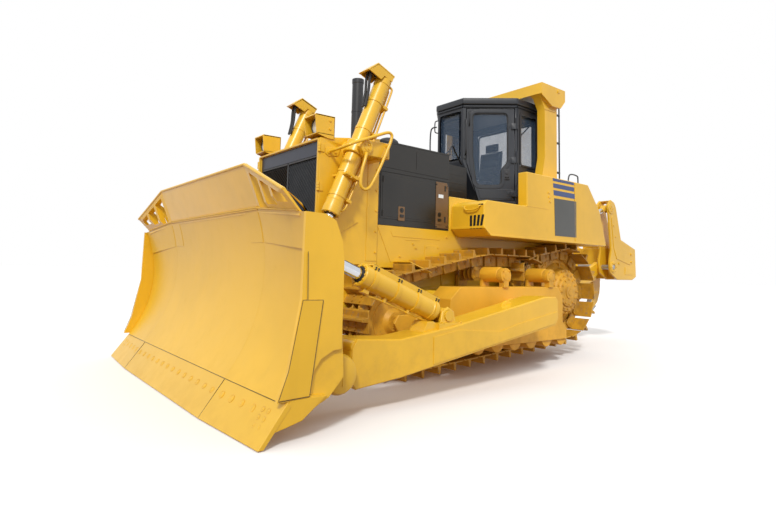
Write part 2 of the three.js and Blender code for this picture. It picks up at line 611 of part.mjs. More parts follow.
// Half of a door hinge: its round knuckle stands on the hinge line, outside the door face.
function knuckle(heights, side) {
  const [bottom, top] = heights;
  const pin = new THREE.CylinderGeometry(HINGE_RADIUS, HINGE_RADIUS, top - bottom, ROUND);
  return ontoDoorFace(pin.translate(HINGE_LINE[0], (top + bottom) / 2, HINGE_LINE[1]), side);
}

const doorOutline = (grow) => [
  [DOOR_HINGE_INSET - grow, DOOR_BOTTOM - grow], [DOOR_HINGE_INSET - grow, DOOR_TOP + grow],
  [DOOR_WIDTH + grow, DOOR_TOP + grow], [DOOR_WIDTH + grow, CAB_NOSE_Z],
  [DOOR_WIDTH - 180 + grow, DOOR_BOTTOM - grow],
];
const doorWindow = (shrink) => [
  [210 + shrink, 2450 + shrink], [210 + shrink, 2690], [120 + shrink, 2790],
  [120 + shrink, 3530 - shrink], [DOOR_WIDTH - 80 - shrink, 3530 - shrink], [DOOR_WIDTH - 80 - shrink, 2900],
  [DOOR_WIDTH - 140 - shrink, 2450 + shrink],
];
const SIDE_WINDOW = [[500, 3540], [900, 3540], [900, 2760], [500, 2760]];
const WINDSCREEN = { y: 215, z: [2840, 3560] };
const REAR_WINDOW = { y: 560, z: [2760, 3540] };
const shrunk = ([a, b], by) => [a + by, b - by];

function cabShell() {
  const outer = cabBlock(0, [CAB_FLOOR_Z, CAB_ROOF_BOTTOM]);
  const inner = cabBlock(CAB_WALL, [CAB_FLOOR_Z + CAB_WALL, CAB_ROOF_BOTTOM + 10]);
  const holes = [
    box([CAB_FRONT[0] - 200, CAB_FRONT[0] + 50], [-WINDSCREEN.y, WINDSCREEN.y], WINDSCREEN.z),
    box([CAB_REAR[0] - 50, CAB_REAR[0] + 100], [-REAR_WINDOW.y, REAR_WINDOW.y], REAR_WINDOW.z),
    ...both((side) => sideways(SIDE_WINDOW, acrossY(side, CAB_SHOULDER[1] - 120, CAB_SHOULDER[1] + 50))),
    ...both((side) => onDoorFace(doorOutline(DOOR_GAP), [-CAB_WALL - 60, 60], side)),
  ];
  const hinges = both((side) => HINGE_Z.map((z) => join(
    knuckle([z + SEAT_GAP, z + HINGE_HEIGHT], side),
    doorBlock([-8, DOOR_HINGE_INSET - DOOR_GAP - 3], [z + SEAT_GAP, z + HINGE_HEIGHT], [-20, 12], side),
  ))).flat();
  return join(cut(outer, inner, ...holes), ...hinges);
}

function cabRoof() {
  const eaves = 30;
  return upright(hexPlan(-eaves), [CAB_ROOF_BOTTOM + SEAT_GAP, CAB_ROOF_TOP]);
}

function door(side) {
  const panel = onDoorFace(doorOutline(0), [-CAB_WALL, -5], side);
  const hinges = HINGE_Z.map((z) => join(
    knuckle([z - HINGE_HEIGHT, z], side),
    doorBlock([0, 80], [z - HINGE_HEIGHT, z], [HINGE_LINE[1] - HINGE_RADIUS, HINGE_LINE[1]], side),
    doorBlock([DOOR_HINGE_INSET + 4, 80], [z - HINGE_HEIGHT, z], [-20, HINGE_LINE[1]], side),
  ));
  return join(cut(panel, onDoorFace(doorWindow(0), [-CAB_WALL - 10, 10], side)), ...hinges);
}

const doorGlass = (side) => onDoorFace(doorWindow(SEAT_GAP), [-30, -30 + GLASS], side);

function seat() {
  return join(
    box([560, 980], [-220, 220], [2480, 2620]),
    box([540, 680], [-230, 230], [2600, 3260]),
    box([620, 900], [-150, 150], [CAB_FLOOR_Z + CAB_WALL + SEAT_GAP, 2500]),
  );
}

// ---------------------------------------------------------------- blade

// Points of the hollow front of the moldboard, from its top to its bottom.
function moldboardCurve(steps) {
  const [bx, bz] = MOLDBOARD_BOTTOM;
  const [tx, tz] = MOLDBOARD_TOP;
  const chord = Math.hypot(tx - bx, tz - bz);
  const radius = (chord * chord) / (8 * MOLDBOARD_HOLLOW) + MOLDBOARD_HOLLOW / 2;
  const half = Math.asin(chord / 2 / radius);
  const [ux, uz] = [(tx - bx) / chord, (tz - bz) / chord]; // up along the chord
  const [nx, nz] = [-uz, ux]; // back into the blade
  return Array.from({ length: steps + 1 }, (_, i) => {
    const angle = half - (2 * half * i) / steps;
    const up = chord / 2 + radius * Math.sin(angle);
    const back = radius * Math.cos(angle) - radius + MOLDBOARD_HOLLOW;
    return [bx + ux * up + nx * back, bz + uz * up + nz * back];
  });
}

const BLADE_BACK = [[5300, 150], [5120, 230], [5000, 290], [4870, 430], [4870, 1000], [4985, 1150],
  [4985, 1480], [5110, 1700]];
const bladeProfile = () => [...moldboardCurve(9), ...BLADE_BACK];

// A profile carried from one width to another; `move` shifts the points of its outer end.
function swept(profile, inner, outer, move, side) {
  const geometry = extruded(profile, outer - inner).rotateX(Math.PI / 2).translate(0, outer, 0);
  const position = geometry.attributes.position;
  for (let i = 0; i < position.count; i++) {
    const [x, y, z] = [position.getX(i), position.getY(i), position.getZ(i)];
    const share = (y - inner) / (outer - inner);
    const [dx, dz] = move(x, z);
    position.setXYZ(i, x + share * dx, side * y, z + share * dz);
  }
  return solidOf(geometry);
}

// How far the outer end of a wing stands from a straight blade at height z.
function wingShift(x, z) {
  const share = Math.max(0, z) / MOLDBOARD_TOP[1];
  return [-WING_BOTTOM_BACK + share * (WING_TOP_FORWARD + WING_BOTTOM_BACK), -share * WING_TOP_DROP];
}

const endBitShift = () => [-WING_BOTTOM_BACK, 0];

// The cutting edge, and the room that the moldboard leaves for it.
const EDGE_SEAT = 30; // width of the slanted face that the edge is bolted to
const edgeOutline = () => {
  const [x, z] = MOLDBOARD_BOTTOM;
  const drop = 2 * SEAT_GAP;
  return [[BLADE_TIP_X, EDGE_LIFT], [x, z - drop], [x - EDGE_SEAT, z - EDGE_SEAT - drop],
    [BLADE_TIP_X - CUTTING_EDGE, EDGE_LIFT]];
};
const edgeRoom = () => {
  const [x, z] = MOLDBOARD_BOTTOM;
  const seat = 1.5 * EDGE_SEAT;
  return [[BLADE_TIP_X + 200, -50], [x + 200, z], [x, z], [x - seat, z - seat],
    [BLADE_TIP_X - 2 * CUTTING_EDGE, -50]];
};

function bladeBody() {
  const profile = bladeProfile();
  const spill = [MOLDBOARD_TOP, [MOLDBOARD_TOP[0] + SPILL_GUARD_LEAN, MOLDBOARD_TOP[1] + SPILL_GUARD_HEIGHT],
    [MOLDBOARD_TOP[0] + SPILL_GUARD_LEAN - 30, MOLDBOARD_TOP[1] + SPILL_GUARD_HEIGHT + 5],
    [MOLDBOARD_TOP[0] - 50, MOLDBOARD_TOP[1] - 30], [MOLDBOARD_TOP[0], MOLDBOARD_TOP[1] - 30]];
  const half = BLADE_CENTRE_HALF_WIDTH;
  const centre = sideways(profile, [-half, half]);
  const wings = both((side) => swept(profile, half - 1, BLADE_HALF_WIDTH - 40, wingShift, side));
  const spillCentre = sideways(spill, [-half, half]);
  const spillShift = (x, z) => [WING_TOP_FORWARD * 0.9,
    z > MOLDBOARD_TOP[1] + 50 ? -WING_TOP_DROP - 210 : -WING_TOP_DROP * 0.9];
  const spillWings = both((side) => swept(spill, half - 1, BLADE_HALF_WIDTH - 160, spillShift, side));
  const cheekOutline = [[5425, 95], [5200, 150], [5000, 300], [5155, 312], [5140, 450], [5060, 560],
    [4960, 612], [4885, 620], [4885, 1265], [4905, 1420], [4970, 1570], [5060, 1615], [5235, 1620],
    [5240, 984], [5330, 480], [5400, 300], [5440, 200]];
  const cheeks = both((side) => sideways(cheekOutline,
    acrossY(side, BLADE_HALF_WIDTH - 42, BLADE_HALF_WIDTH - CHEEK_INSET)));
  const liftLug = [[4900, 600], [4640, 660], [4545, 700], [4530, 760], [4570, 825], [4640, 845], [4900, 900]];
  const armLug = [[4900, 300], [4700, 255], [4610, 310], [4595, 380], [4640, 450], [4720, 470], [4900, 560]];
  const tiltLug = [[5020, 1180], [4830, 1280], [4815, 1360], [4860, 1420], [5020, 1460]];
  const lugs = both((side) => [
    ...lugPair(liftLug, side * LIFT_Y, LIFT.eyeHalfWidth, 36),
    ...lugPair(armLug, side * ARM_MIDDLE, 75, 40),
    ...lugPair(tiltLug, side * ARM_MIDDLE, TILT.eyeHalfWidth, 32),
    crossBar(BLADE_PIN_RADIUS, BLADE_PIN, [side * (ARM_MIDDLE - 130), side * (ARM_MIDDLE + 130)]),
  ]).flat();
  // Open slots in the outer parts of the spill guard, between upright bars.
  const slots = both((side) => [0, 1, 2].map((i) => {
    const [inner, outer] = [half + 70 + 235 * i, half + 255 + 235 * i];
    const topAt = (y) => MOLDBOARD_TOP[1] + SPILL_GUARD_HEIGHT - 60 - (y - half) * SPILL_WING_SLOPE;
    return frontal([[side * inner, MOLDBOARD_TOP[1] + 12], [side * outer, MOLDBOARD_TOP[1] - 8],
      [side * outer, topAt(outer)], [side * inner, topAt(inner)]], [5000, 5600]);
  })).flat();
  const rooms = [...slots, sideways(edgeRoom(), [-half - 1, half + 1]),
    ...both((side) => swept(edgeRoom(), half, BLADE_HALF_WIDTH, endBitShift, side))];
  return cut(join(centre, ...wings, spillCentre, ...spillWings, ...cheeks, ...lugs), ...rooms);
}

const cuttingEdge = () => sideways(edgeOutline(), [-BLADE_CENTRE_HALF_WIDTH, BLADE_CENTRE_HALF_WIDTH]);

function endBit(side) {
  const inner = BLADE_CENTRE_HALF_WIDTH;
  const bit = swept(edgeOutline(), inner, BLADE_HALF_WIDTH, endBitShift, side);
  return cut(bit, box([0, 2 * BLADE_TIP_X], acrossY(side, inner - 10, inner + SEAT_GAP), [-100, 400]));
}

function pushArm(side) {
  const beam = sideways([[1630, 690], [1680, 612], [3000, 422], [4050, 269], [4540, 224], [4590, 290],
    [4590, 560], [4540, 632], [4060, 602], [3390, 680], [1890, 942], [1670, 942], [1630, 900]],
  acrossY(side, ARM_INNER, ARM_OUTER));
  const neck = sideways([[4500, 250], [4700, 260], [4700, 460], [4500, 520]],
    acrossY(side, ARM_MIDDLE - 75, ARM_MIDDLE + 75));
  const knuckle = crossBar(105, BLADE_PIN, acrossY(side, ARM_MIDDLE - 75, ARM_MIDDLE + 75));
  const [bx, bz] = TILT.base;
  const lugOutline = [[bx - 110, 640], [bx - 80, bz + 40], [bx, bz + 85], [bx + 80, bz + 40],
    [bx + 130, 620]];
  const lugs = lugPair(lugOutline, side * ARM_MIDDLE, TILT.eyeHalfWidth, 36,
    { at: TILT.base, radius: TILT.rod, turn: slopeOf(TILT) });
  const bores = [
    pinHole(TRUNNION_RADIUS, TRUNNION, acrossY(side, ARM_INNER - 50, ARM_OUTER + 50)),
    pinHole(BLADE_PIN_RADIUS, BLADE_PIN, acrossY(side, ARM_INNER - 50, ARM_OUTER + 50)),
  ];
  return join(cut(join(beam, neck, knuckle), ...bores), ...lugs);
}

// ---------------------------------------------------------------- hydraulic cylinders

// A cylinder is built along +X of its own group, which stands at its base pin and points at the
// rod's eye. Its base pin belongs to the barrel. The eye has no hole: its pin is inside it.
function hydraulic(name, spec, y, pinHalfWidth, extra) {
  const group = new THREE.Group();
  const [dx, dz] = [spec.eye[0] - spec.base[0], spec.eye[1] - spec.base[1]];
  const reach = Math.hypot(dx, dz);
  group.position.set(spec.base[0], y, spec.base[1]);
  group.rotation.y = slopeOf(spec);
  const bore = bar(spec.rod + ROD_CLEARANCE, [spec.boreStart, 0, 0], [spec.gland + 50, 0, 0]);
  const tube = bar(spec.barrel, [spec.tail, 0, 0], [spec.gland, 0, 0], 16);
  const pin = bar(spec.rod, [0, -pinHalfWidth, 0], [0, pinHalfWidth, 0]);
  const barrel = join(tube, pin, ...extra(spec));
  const rod = join(
    bar(spec.rod, [reach - spec.rodLength, 0, 0], [reach - spec.eyeRadius * 0.6, 0, 0]),
    bar(spec.eyeRadius, [reach, -spec.eyeHalfWidth, 0], [reach, spec.eyeHalfWidth, 0], 16),
  );
  const side = Math.sign(y);
  group.add(meshOf(sided(`${name}_barrel`, side), cut(barrel, bore), yellow));
  group.add(meshOf(sided(`${name}_rod`, side), rod, chrome));
  machine.add(group);
}

// The plain base of a cylinder that hangs on a pin behind its tail.
const baseEye = (spec) => [
  bar(spec.eyeRadius, [0, -spec.eyeHalfWidth, 0], [0, spec.eyeHalfWidth, 0], 16),
  box([0, spec.tail + 20], [-spec.eyeHalfWidth, spec.eyeHalfWidth],
    [-spec.eyeRadius * 0.8, spec.eyeRadius * 0.8]),
];

// The lift cylinder hangs in a collar round its middle, and carries a hose guard on its top end.
const liftCollar = (spec) => [
  bar(spec.barrel + 12, [-70, 0, 0], [70, 0, 0], 16),
  bar(spec.barrel + 12, [spec.gland - 60, 0, 0], [spec.gland, 0, 0], 16),
  sideways([[-1020, -70], [-1020, 200], [-860, 290], [-860, 80], [-920, -70]], [-95, 95]),
];

// ---------------------------------------------------------------- ripper

function ripperArm() {
  const [ax, az] = RIPPER_ARM_PIN;
  const [bx, bz] = RIPPER_BEAM_PIN;
  const middle = RIPPER_LIFT.eye;
  const plate = [[ax, az - 80], [ax + 40, az], [ax, az + 80], [bx, bz + 90], [bx - 60, bz], [bx, bz - 90],
    [middle[0] + 50, middle[1] - 190]];
  const cross = sideways([[middle[0] - 150, middle[1] - 70], [middle[0] + 130, middle[1] - 130],
    [middle[0] + 110, middle[1] - 220], [middle[0] - 130, middle[1] - 140]],
  [-RIPPER_ARM_Y[1] + 5, RIPPER_ARM_Y[1] - 5]);
  const eye = pinHole(RIPPER_PIN_RADIUS, RIPPER_BEAM_PIN, [-500, 500]);
  const lug = [[middle[0] - 140, middle[1] - 130], [middle[0] - 70, middle[1] + 40],
    [middle[0], middle[1] + 75], [middle[0] + 60, middle[1] + 30], [middle[0] + 110, middle[1] - 200]];
  const pins = both((side) => crossBar(RIPPER_PIN_RADIUS, RIPPER_ARM_PIN,
    acrossY(side, RIPPER_ARM_Y[0] - 60, RIPPER_ARM_Y[1] + 60)));
  const plates = both((side) => sideways(plate, acrossY(side, ...RIPPER_ARM_Y)));
  const lugs = both((side) => lugPair(lug, side * RIPPER_LIFT_Y, RIPPER_LIFT.eyeHalfWidth, 30)).flat();
  return join(cut(join(...plates, cross), eye), ...lugs, ...pins);
}

const ripperPin = () => crossBar(RIPPER_PIN_RADIUS, RIPPER_BEAM_PIN,
  [-RIPPER_OUTER_PLATE[1] - 15, RIPPER_OUTER_PLATE[1] + 15]);

function ripperBeam() {
  const rear = RIPPER_REAR_X;
  const plate = [[-1850, 2470], [-1960, 2560], [-2080, 2520], [-2140, 2430], [-2300, 1855],
    [rear + 15, 1700], [rear, 1185], [rear + 145, 1125], [-2150, 1125], [-1900, 1250], [-1890, 1450],
    [-1950, 1660], [-1880, 2288]];
  const plates = both((side) => [RIPPER_INNER_PLATE, RIPPER_OUTER_PLATE].map((across) =>
    sideways(plate, acrossY(side, ...across)))).flat();
  const bore = pinHole(RIPPER_PIN_RADIUS, RIPPER_BEAM_PIN, [-800, 800]);
  const block = sideways([[rear, 1200], [rear + 15, 1700], [-2200, 1700], [-2200, 1140], [rear + 145, 1130]],
    [-RIPPER_OUTER_PLATE[0] - 5, RIPPER_OUTER_PLATE[0] + 5]);
  const pocket = box([SHANK_X[0] - SEAT_GAP, SHANK_X[1] + SEAT_GAP],
    [-SHANK_HALF_WIDTH - SEAT_GAP, SHANK_HALF_WIDTH + SEAT_GAP], [1000, 1900]);
  return cut(join(...plates, block), bore, pocket);
}

function shank() {
  const [rear, front] = SHANK_X;
  return sideways([[rear, SHANK_TOP_Z], [front, SHANK_TOP_Z], [front, 900], [front + 60, 700],
    [front + 190, SHANK_TIP_Z + 40], [front + 210, SHANK_TIP_Z], [front + 100, SHANK_TIP_Z + 30],
    [rear + 60, 700], [rear, 1000]], [-SHANK_HALF_WIDTH, SHANK_HALF_WIDTH]);
}

// ---------------------------------------------------------------- assembly

add('main_frame', mainFrame(), yellow);
add('engine_block', box([2330, 3400], [-420, 420], [HULL_DECK_Z + SEAT_GAP, 2500]), ochre);
add('radiator_guard', radiatorGuard(), yellow);
add('grille', grille(), charcoal);
add('hood', hood(), charcoal);
add('exhaust_stack', bar(75, [3280, 0, HOOD_Z + PANEL + SEAT_GAP], [3280, 0, 3665]), black);
add('precleaner', bar(150, [2750, 0, HOOD_Z + PANEL + SEAT_GAP], [2750, 0, 2985], 24), black);
add('fuel_tank', fuelTank(), yellow);
add('rops', rollOverFrame(), yellow);
add('cab_shell', cabShell(), slate);
add('cab_roof', cabRoof(), slate);
add('operator_seat', seat(), seatCloth);
add('windscreen', box([CAB_FRONT[0] - 30, CAB_FRONT[0] - 30 + GLASS],
  shrunk([-WINDSCREEN.y, WINDSCREEN.y], SEAT_GAP), shrunk(WINDSCREEN.z, SEAT_GAP)), tinted);
add('rear_window', box([CAB_REAR[0] + 20, CAB_REAR[0] + 20 + GLASS],
  shrunk([-REAR_WINDOW.y, REAR_WINDOW.y], SEAT_GAP), shrunk(REAR_WINDOW.z, SEAT_GAP)), tinted);
add('blade', bladeBody(), yellow);
add('cutting_edge', cuttingEdge(), ochre);
add('ripper_arm', ripperArm(), yellow);
add('ripper_pin', ripperPin(), ochre);
add('ripper_beam', ripperBeam(), yellow);
add('ripper_shank', shank(), yellow);

for (const side of [1, -1]) {
  add(sided('track', side), trackLoop(side), ochre);
  add(sided('sprocket', side), sprocket(side), yellow);
  add(sided('idler', side), idler(side), ochre);
  add(sided('track_frame', side), trackFrame(side), ochre);
  add(sided('engine_cover', side), engineCover(side), charcoal);
  add(sided('headlamp', side), headlamp(side), yellow);
  add(sided('fender', side), fender(side), yellow);
  const [[rear, top], [front], [, bottom]] = [SIDE_WINDOW[0], SIDE_WINDOW[1], SIDE_WINDOW[2]];
  add(sided('side_window', side), box(shrunk([rear, front], SEAT_GAP),
    acrossY(side, CAB_SHOULDER[1] - 30, CAB_SHOULDER[1] - 30 + GLASS),
    shrunk([bottom, top], SEAT_GAP)), tinted);
  add(sided('door', side), door(side), slate);
  add(sided('door_window', side), doorGlass(side), tinted);
  add(sided('end_bit', side), endBit(side), ochre);
  add(sided('push_arm', side), pushArm(side), yellow);
  hydraulic('lift', LIFT, side * LIFT_Y, LIFT_YOKE_Y[1] - LIFT_Y + 5, liftCollar);
  hydraulic('tilt', TILT, side * ARM_MIDDLE, 110, baseEye);
  hydraulic('ripper_lift', RIPPER_LIFT, side * RIPPER_LIFT_Y, 72, baseEye);
  hydraulic('ripper_tilt', RIPPER_TILT, side * RIPPER_TILT_Y, 95, baseEye);
}

machine.position.x = -(BLADE_TIP_X + RIPPER_REAR_X) / 2;

const model = new THREE.Group();
model.add(machine);
export default model;
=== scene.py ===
"""Looks of a track-type bulldozer, built round its packed solids.

Places are metres in the frame's axes: +X forward, +Y left, +Z up. Lengths along the machine are
written from the sprocket axle, and `at` moves them into the frame.
"""

import json
import math

import bmesh
import bpy
from bpy.props import FloatProperty, FloatVectorProperty, IntProperty, PointerProperty
from mathutils import Matrix, Vector

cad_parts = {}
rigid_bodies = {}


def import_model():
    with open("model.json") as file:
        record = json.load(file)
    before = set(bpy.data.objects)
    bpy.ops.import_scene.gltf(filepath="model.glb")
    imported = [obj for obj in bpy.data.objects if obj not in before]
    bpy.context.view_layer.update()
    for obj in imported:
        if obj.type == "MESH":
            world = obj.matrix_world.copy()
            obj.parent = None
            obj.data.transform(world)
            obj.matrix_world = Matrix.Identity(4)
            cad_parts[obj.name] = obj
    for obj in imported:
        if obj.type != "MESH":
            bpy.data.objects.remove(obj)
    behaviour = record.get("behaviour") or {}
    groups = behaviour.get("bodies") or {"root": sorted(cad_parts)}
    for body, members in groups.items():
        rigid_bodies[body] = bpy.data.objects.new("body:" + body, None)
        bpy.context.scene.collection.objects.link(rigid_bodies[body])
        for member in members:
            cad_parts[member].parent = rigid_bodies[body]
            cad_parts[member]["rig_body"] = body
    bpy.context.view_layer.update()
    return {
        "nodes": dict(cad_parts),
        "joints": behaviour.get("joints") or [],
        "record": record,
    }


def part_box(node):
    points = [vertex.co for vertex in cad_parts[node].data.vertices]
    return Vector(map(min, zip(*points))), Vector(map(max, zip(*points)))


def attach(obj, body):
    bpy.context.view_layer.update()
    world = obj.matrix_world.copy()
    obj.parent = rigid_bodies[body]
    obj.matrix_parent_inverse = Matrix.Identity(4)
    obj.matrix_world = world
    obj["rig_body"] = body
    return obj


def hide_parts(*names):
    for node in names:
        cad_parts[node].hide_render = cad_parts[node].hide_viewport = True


bl_info = {"name": "Bulldozer looks", "version": (1, 0, 0), "blender": (4, 5, 0),
    "location": "View3D > Sidebar > Bulldozer",
    "description": "Detailed pieces, paint and studio for a track-type bulldozer", "category": "Object",}

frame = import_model()
SIDES = ("left", "right")
OUTWARD = Vector((0, 1, 0))
UPWARD = Vector((0, 0, 1))
EIGHTH_TURN = 0.785


def middle_of(node):
    low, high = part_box(node)
    return (low + high) / 2


AXLE = middle_of("sprocket_left")
IDLER = middle_of("idler_left")
AXLE_X, AXLE_Z, TRACK_Y = AXLE
WHEELBASE = IDLER.x - AXLE_X
IDLER_Z = IDLER.z


def at(x, y, z):
    """A place given from the sprocket axle's own cross-plane."""
    return Vector((x + AXLE_X, y, z))


# ---------------------------------------------------------------- shapes


class Shape:
    """A mesh that is put together from bmesh operators, in the frame's metres."""

    def __init__(self):
        self.bm = bmesh.new()
        self.finish = 0

    def take(self, part, bevel=0.0, segments=2, matrix=None, sharp=30):
        """Adds a bmesh, with its sharp edges rounded first, in the finish that is in hand."""
        if bevel:
            limit = math.radians(sharp)
            edges = [e for e in part.edges if len(e.link_faces) == 2 and e.calc_face_angle(0) > limit]
            bmesh.ops.bevel(part, geom=edges, offset=bevel, offset_type="OFFSET", segments=segments,
                profile=0.5, affect="EDGES", clamp_overlap=True, material=-1)
        if matrix is not None:
            part.transform(matrix)
            if matrix.determinant() < 0:
                bmesh.ops.reverse_faces(part, faces=part.faces)
        for face in part.faces:
            face.material_index = self.finish
        mesh = bpy.data.meshes.new("part")
        part.to_mesh(mesh)
        part.free()
        self.bm.from_mesh(mesh)
        bpy.data.meshes.remove(mesh)
        return self

    def block(self, low, high, bevel=0.004, matrix=None):
        """A box between two corners, square to the frame or to a matrix."""
        part = bmesh.new()
        bmesh.ops.create_cube(part, size=1)
        low, high = Vector(low), Vector(high)
        bmesh.ops.scale(part, vec=high - low, verts=part.verts)
        bmesh.ops.translate(part, vec=(low + high) / 2, verts=part.verts)
        return self.take(part, bevel, 2, matrix)

    def prism(self, outline, depth, bevel=0.004, segments=2):
        """A flat outline of 3D points carried along the vector `depth`."""
        part = bmesh.new()
        face = part.faces.new([part.verts.new(p) for p in outline])
        grown = bmesh.ops.extrude_face_region(part, geom=[face])["geom"]
        bmesh.ops.translate(part, vec=depth, verts=[v for v in grown if isinstance(v, bmesh.types.BMVert)])
        bmesh.ops.recalc_face_normals(part, faces=part.faces)
        return self.take(part, bevel, segments)

    def plate(self, outline, y0, y1, bevel=0.004, segments=2):
        """A side view of (x, z) points, x from the axle, carried from y0 to y1."""
        return self.prism([at(x, y0, z) for x, z in outline], Vector((0, y1 - y0, 0)), bevel, segments)

    def turned(self, profile, start, end, segments=32, closed=False):
        """A profile of (distance, radius) points spun round the line from start to end."""
        start, end = Vector(start), Vector(end)
        part = bmesh.new()
        points = [part.verts.new((radius, 0, distance)) for distance, radius in profile]
        edges = [part.edges.new(pair) for pair in zip(points, points[1:])]
        if closed:
            edges.append(part.edges.new((points[-1], points[0])))
        bmesh.ops.spin(part, geom=points + edges, cent=(0, 0, 0), axis=(0, 0, 1), dvec=(0, 0, 0),
            angle=2 * math.pi, steps=segments, use_merge=True, use_duplicate=False)
        bmesh.ops.remove_doubles(part, verts=part.verts, dist=1e-5)
        bmesh.ops.holes_fill(part, edges=[e for e in part.edges if e.is_boundary], sides=0)
        bmesh.ops.recalc_face_normals(part, faces=part.faces)
        return self.take(part, matrix=placed(start, end - start))

    def rod(self, start, end, radius, segments=20, bevel=0.0):
        """A round bar between two places."""
        start, end = Vector(start), Vector(end)
        part = bmesh.new()
        length = (end - start).length
        bmesh.ops.create_cone(part, cap_ends=True, segments=segments, radius1=radius, radius2=radius,
            depth=length, matrix=Matrix.Translation((0, 0, length / 2)))
        return self.take(part, bevel, 2, placed(start, end - start), 60)

    def pipe(self, points, radius, segments=8):
        """A bent pipe through control points."""
        curve = bpy.data.curves.new("pipe", "CURVE")
        curve.dimensions = "3D"
        curve.bevel_depth = radius
        curve.bevel_resolution = segments // 2 - 1
        curve.use_fill_caps = True
        spline = curve.splines.new("NURBS")
        spline.points.add(len(points) - 1)
        for point, place in zip(spline.points, points):
            point.co = (*place, 1)
        spline.order_u = min(3, len(points))
        spline.use_endpoint_u = True
        spline.resolution_u = 6
        holder = bpy.data.objects.new("pipe", curve)
        mesh = holder.to_mesh()
        part = bmesh.new()
        part.from_mesh(mesh)
        holder.to_mesh_clear()
        bpy.data.objects.remove(holder)
        bpy.data.curves.remove(curve)
        bmesh.ops.remove_doubles(part, verts=part.verts, dist=1e-5)
        bmesh.ops.recalc_face_normals(part, faces=part.faces)
        return self.take(part)

    def bolt(self, place, outward, size=0.014, washer=True):
        """A hexagon head on its washer. `size` is the head's radius."""
        place, outward = Vector(place), Vector(outward).normalized()
        if washer:
            self.rod(place - outward * 0.004, place + outward * size * 0.25, size * 1.45, 12)
        return self.rod(place - outward * 0.004, place + outward * size * 0.95, size, 6, size * 0.12)

    def bolt_ring(self, centre, axis, radius, count, size=0.014, turn=0.0):
        """Bolts in a circle, the first turned from the ring's own zero."""
        spot = placed(centre, Vector(axis))
        for i in range(count):
            angle = turn + 2 * math.pi * i / count
            self.bolt(spot @ Vector((radius * math.cos(angle), radius * math.sin(angle), 0)), axis, size)
        return self

    def bolt_row(self, start, end, count, outward, size=0.014):
        """Bolts at even distances along a line."""
        start, end = Vector(start), Vector(end)
        for i in range(count):
            self.bolt(start.lerp(end, i / max(1, count - 1)), outward, size)
        return self

    def weld(self, points, radius=0.007):
        """A weld bead laid along a corner."""
        for start, end in zip(points, points[1:]):
            self.rod(start, end, radius, 6)
        return self

    def mirrored(self):
        """The same shape on the other side of the machine."""
        other = Shape()
        other.bm = self.bm.copy()
        other.bm.transform(Matrix.Diagonal((1, -1, 1, 1)))
        bmesh.ops.reverse_faces(other.bm, faces=other.bm.faces)
        return other


def placed(origin, direction):
    """A matrix that stands +Z on a direction at a place."""
    matrix = Vector(direction).to_track_quat("Z", "Y").to_matrix().to_4x4()
    matrix.translation = Vector(origin)
    return matrix


def even_normals(made):
    """Leans the shading of rounded edges on the flat faces beside them, and keeps that in the mesh."""
    made.modifiers.new("normals", "WEIGHTED_NORMAL").keep_sharp = True
    dressed = made.evaluated_get(bpy.context.evaluated_depsgraph_get())
    mesh = bpy.data.meshes.new_from_object(dressed)
    plain = made.data
    made.modifiers.clear()
    made.data = mesh
    bpy.data.meshes.remove(plain)
    mesh.name = made.name


def piece(name, shape, finishes, body, slot=None, replaces=(), smooth=38):
    """Turns a shape into an object in the named finishes that rides on a body."""
    mesh = bpy.data.meshes.new(name)
    shape.bm.to_mesh(mesh)
    shape.bm.free()
    for finish in [finishes] if isinstance(finishes, str) else finishes:
        mesh.materials.append(FINISH[finish])
    mesh.shade_smooth()
    mesh.set_sharp_from_angle(angle=math.radians(smooth))
    made = bpy.data.objects.new(name, mesh)
    bpy.context.scene.collection.objects.link(made)
    even_normals(made)
    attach(made, body)
    if replaces:
        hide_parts(*replaces)
    return made


def paired(name, build, finishes, body, slot=None, replaces=()):
    """Builds the left piece, and its mirror image on the right. Names with {} take the side."""
    left = Shape()
    build(left)
    for side, shape in (("right", left.mirrored()), ("left", left)):
        piece(f"{name}_{side}", shape, finishes, body.format(side), slot, [n.format(side) for n in replaces])


def softened(node, finish, bevel=0.006, flat=0.8):
    """A CAD node's own shape with its edges rounded as a press brake or a torch leaves them."""
    source = frame["nodes"][node]
    part = bmesh.new()
    part.from_mesh(source.data)
    bmesh.ops.remove_doubles(part, verts=part.verts, dist=2e-5)
    bmesh.ops.dissolve_limit(part, angle_limit=math.radians(flat), verts=part.verts, edges=part.edges,
        delimit=set())
    limit = math.radians(38)
    edges = []
    for edge in part.edges:
        if len(edge.link_faces) != 2 or edge.calc_face_angle(0) < limit or edge.calc_length() < 4 * bevel:
            continue
        around = [other for vertex in edge.verts for other in vertex.link_edges]
        if min(other.calc_length() for other in around) > 2.2 * bevel:
            edges.append(edge)
    bmesh.ops.bevel(part, geom=edges, offset=bevel, offset_type="OFFSET", segments=2, profile=0.5,
        affect="EDGES", clamp_overlap=True, material=-1)
    many_sided = [side for side in part.faces if len(side.verts) > 4]
    bmesh.ops.triangulate(part, faces=many_sided, ngon_method="EAR_CLIP")
    shape = Shape()
    shape.take(part)
    return piece(f"{node}_body", shape, finish, source["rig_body"], slot_of(node), [node])


RECORD_SLOTS = {part["node"]: part["material_slot"] for part in frame["record"]["subparts"]}


def slot_of(node):
    return RECORD_SLOTS[node]


# ---------------------------------------------------------------- finishes


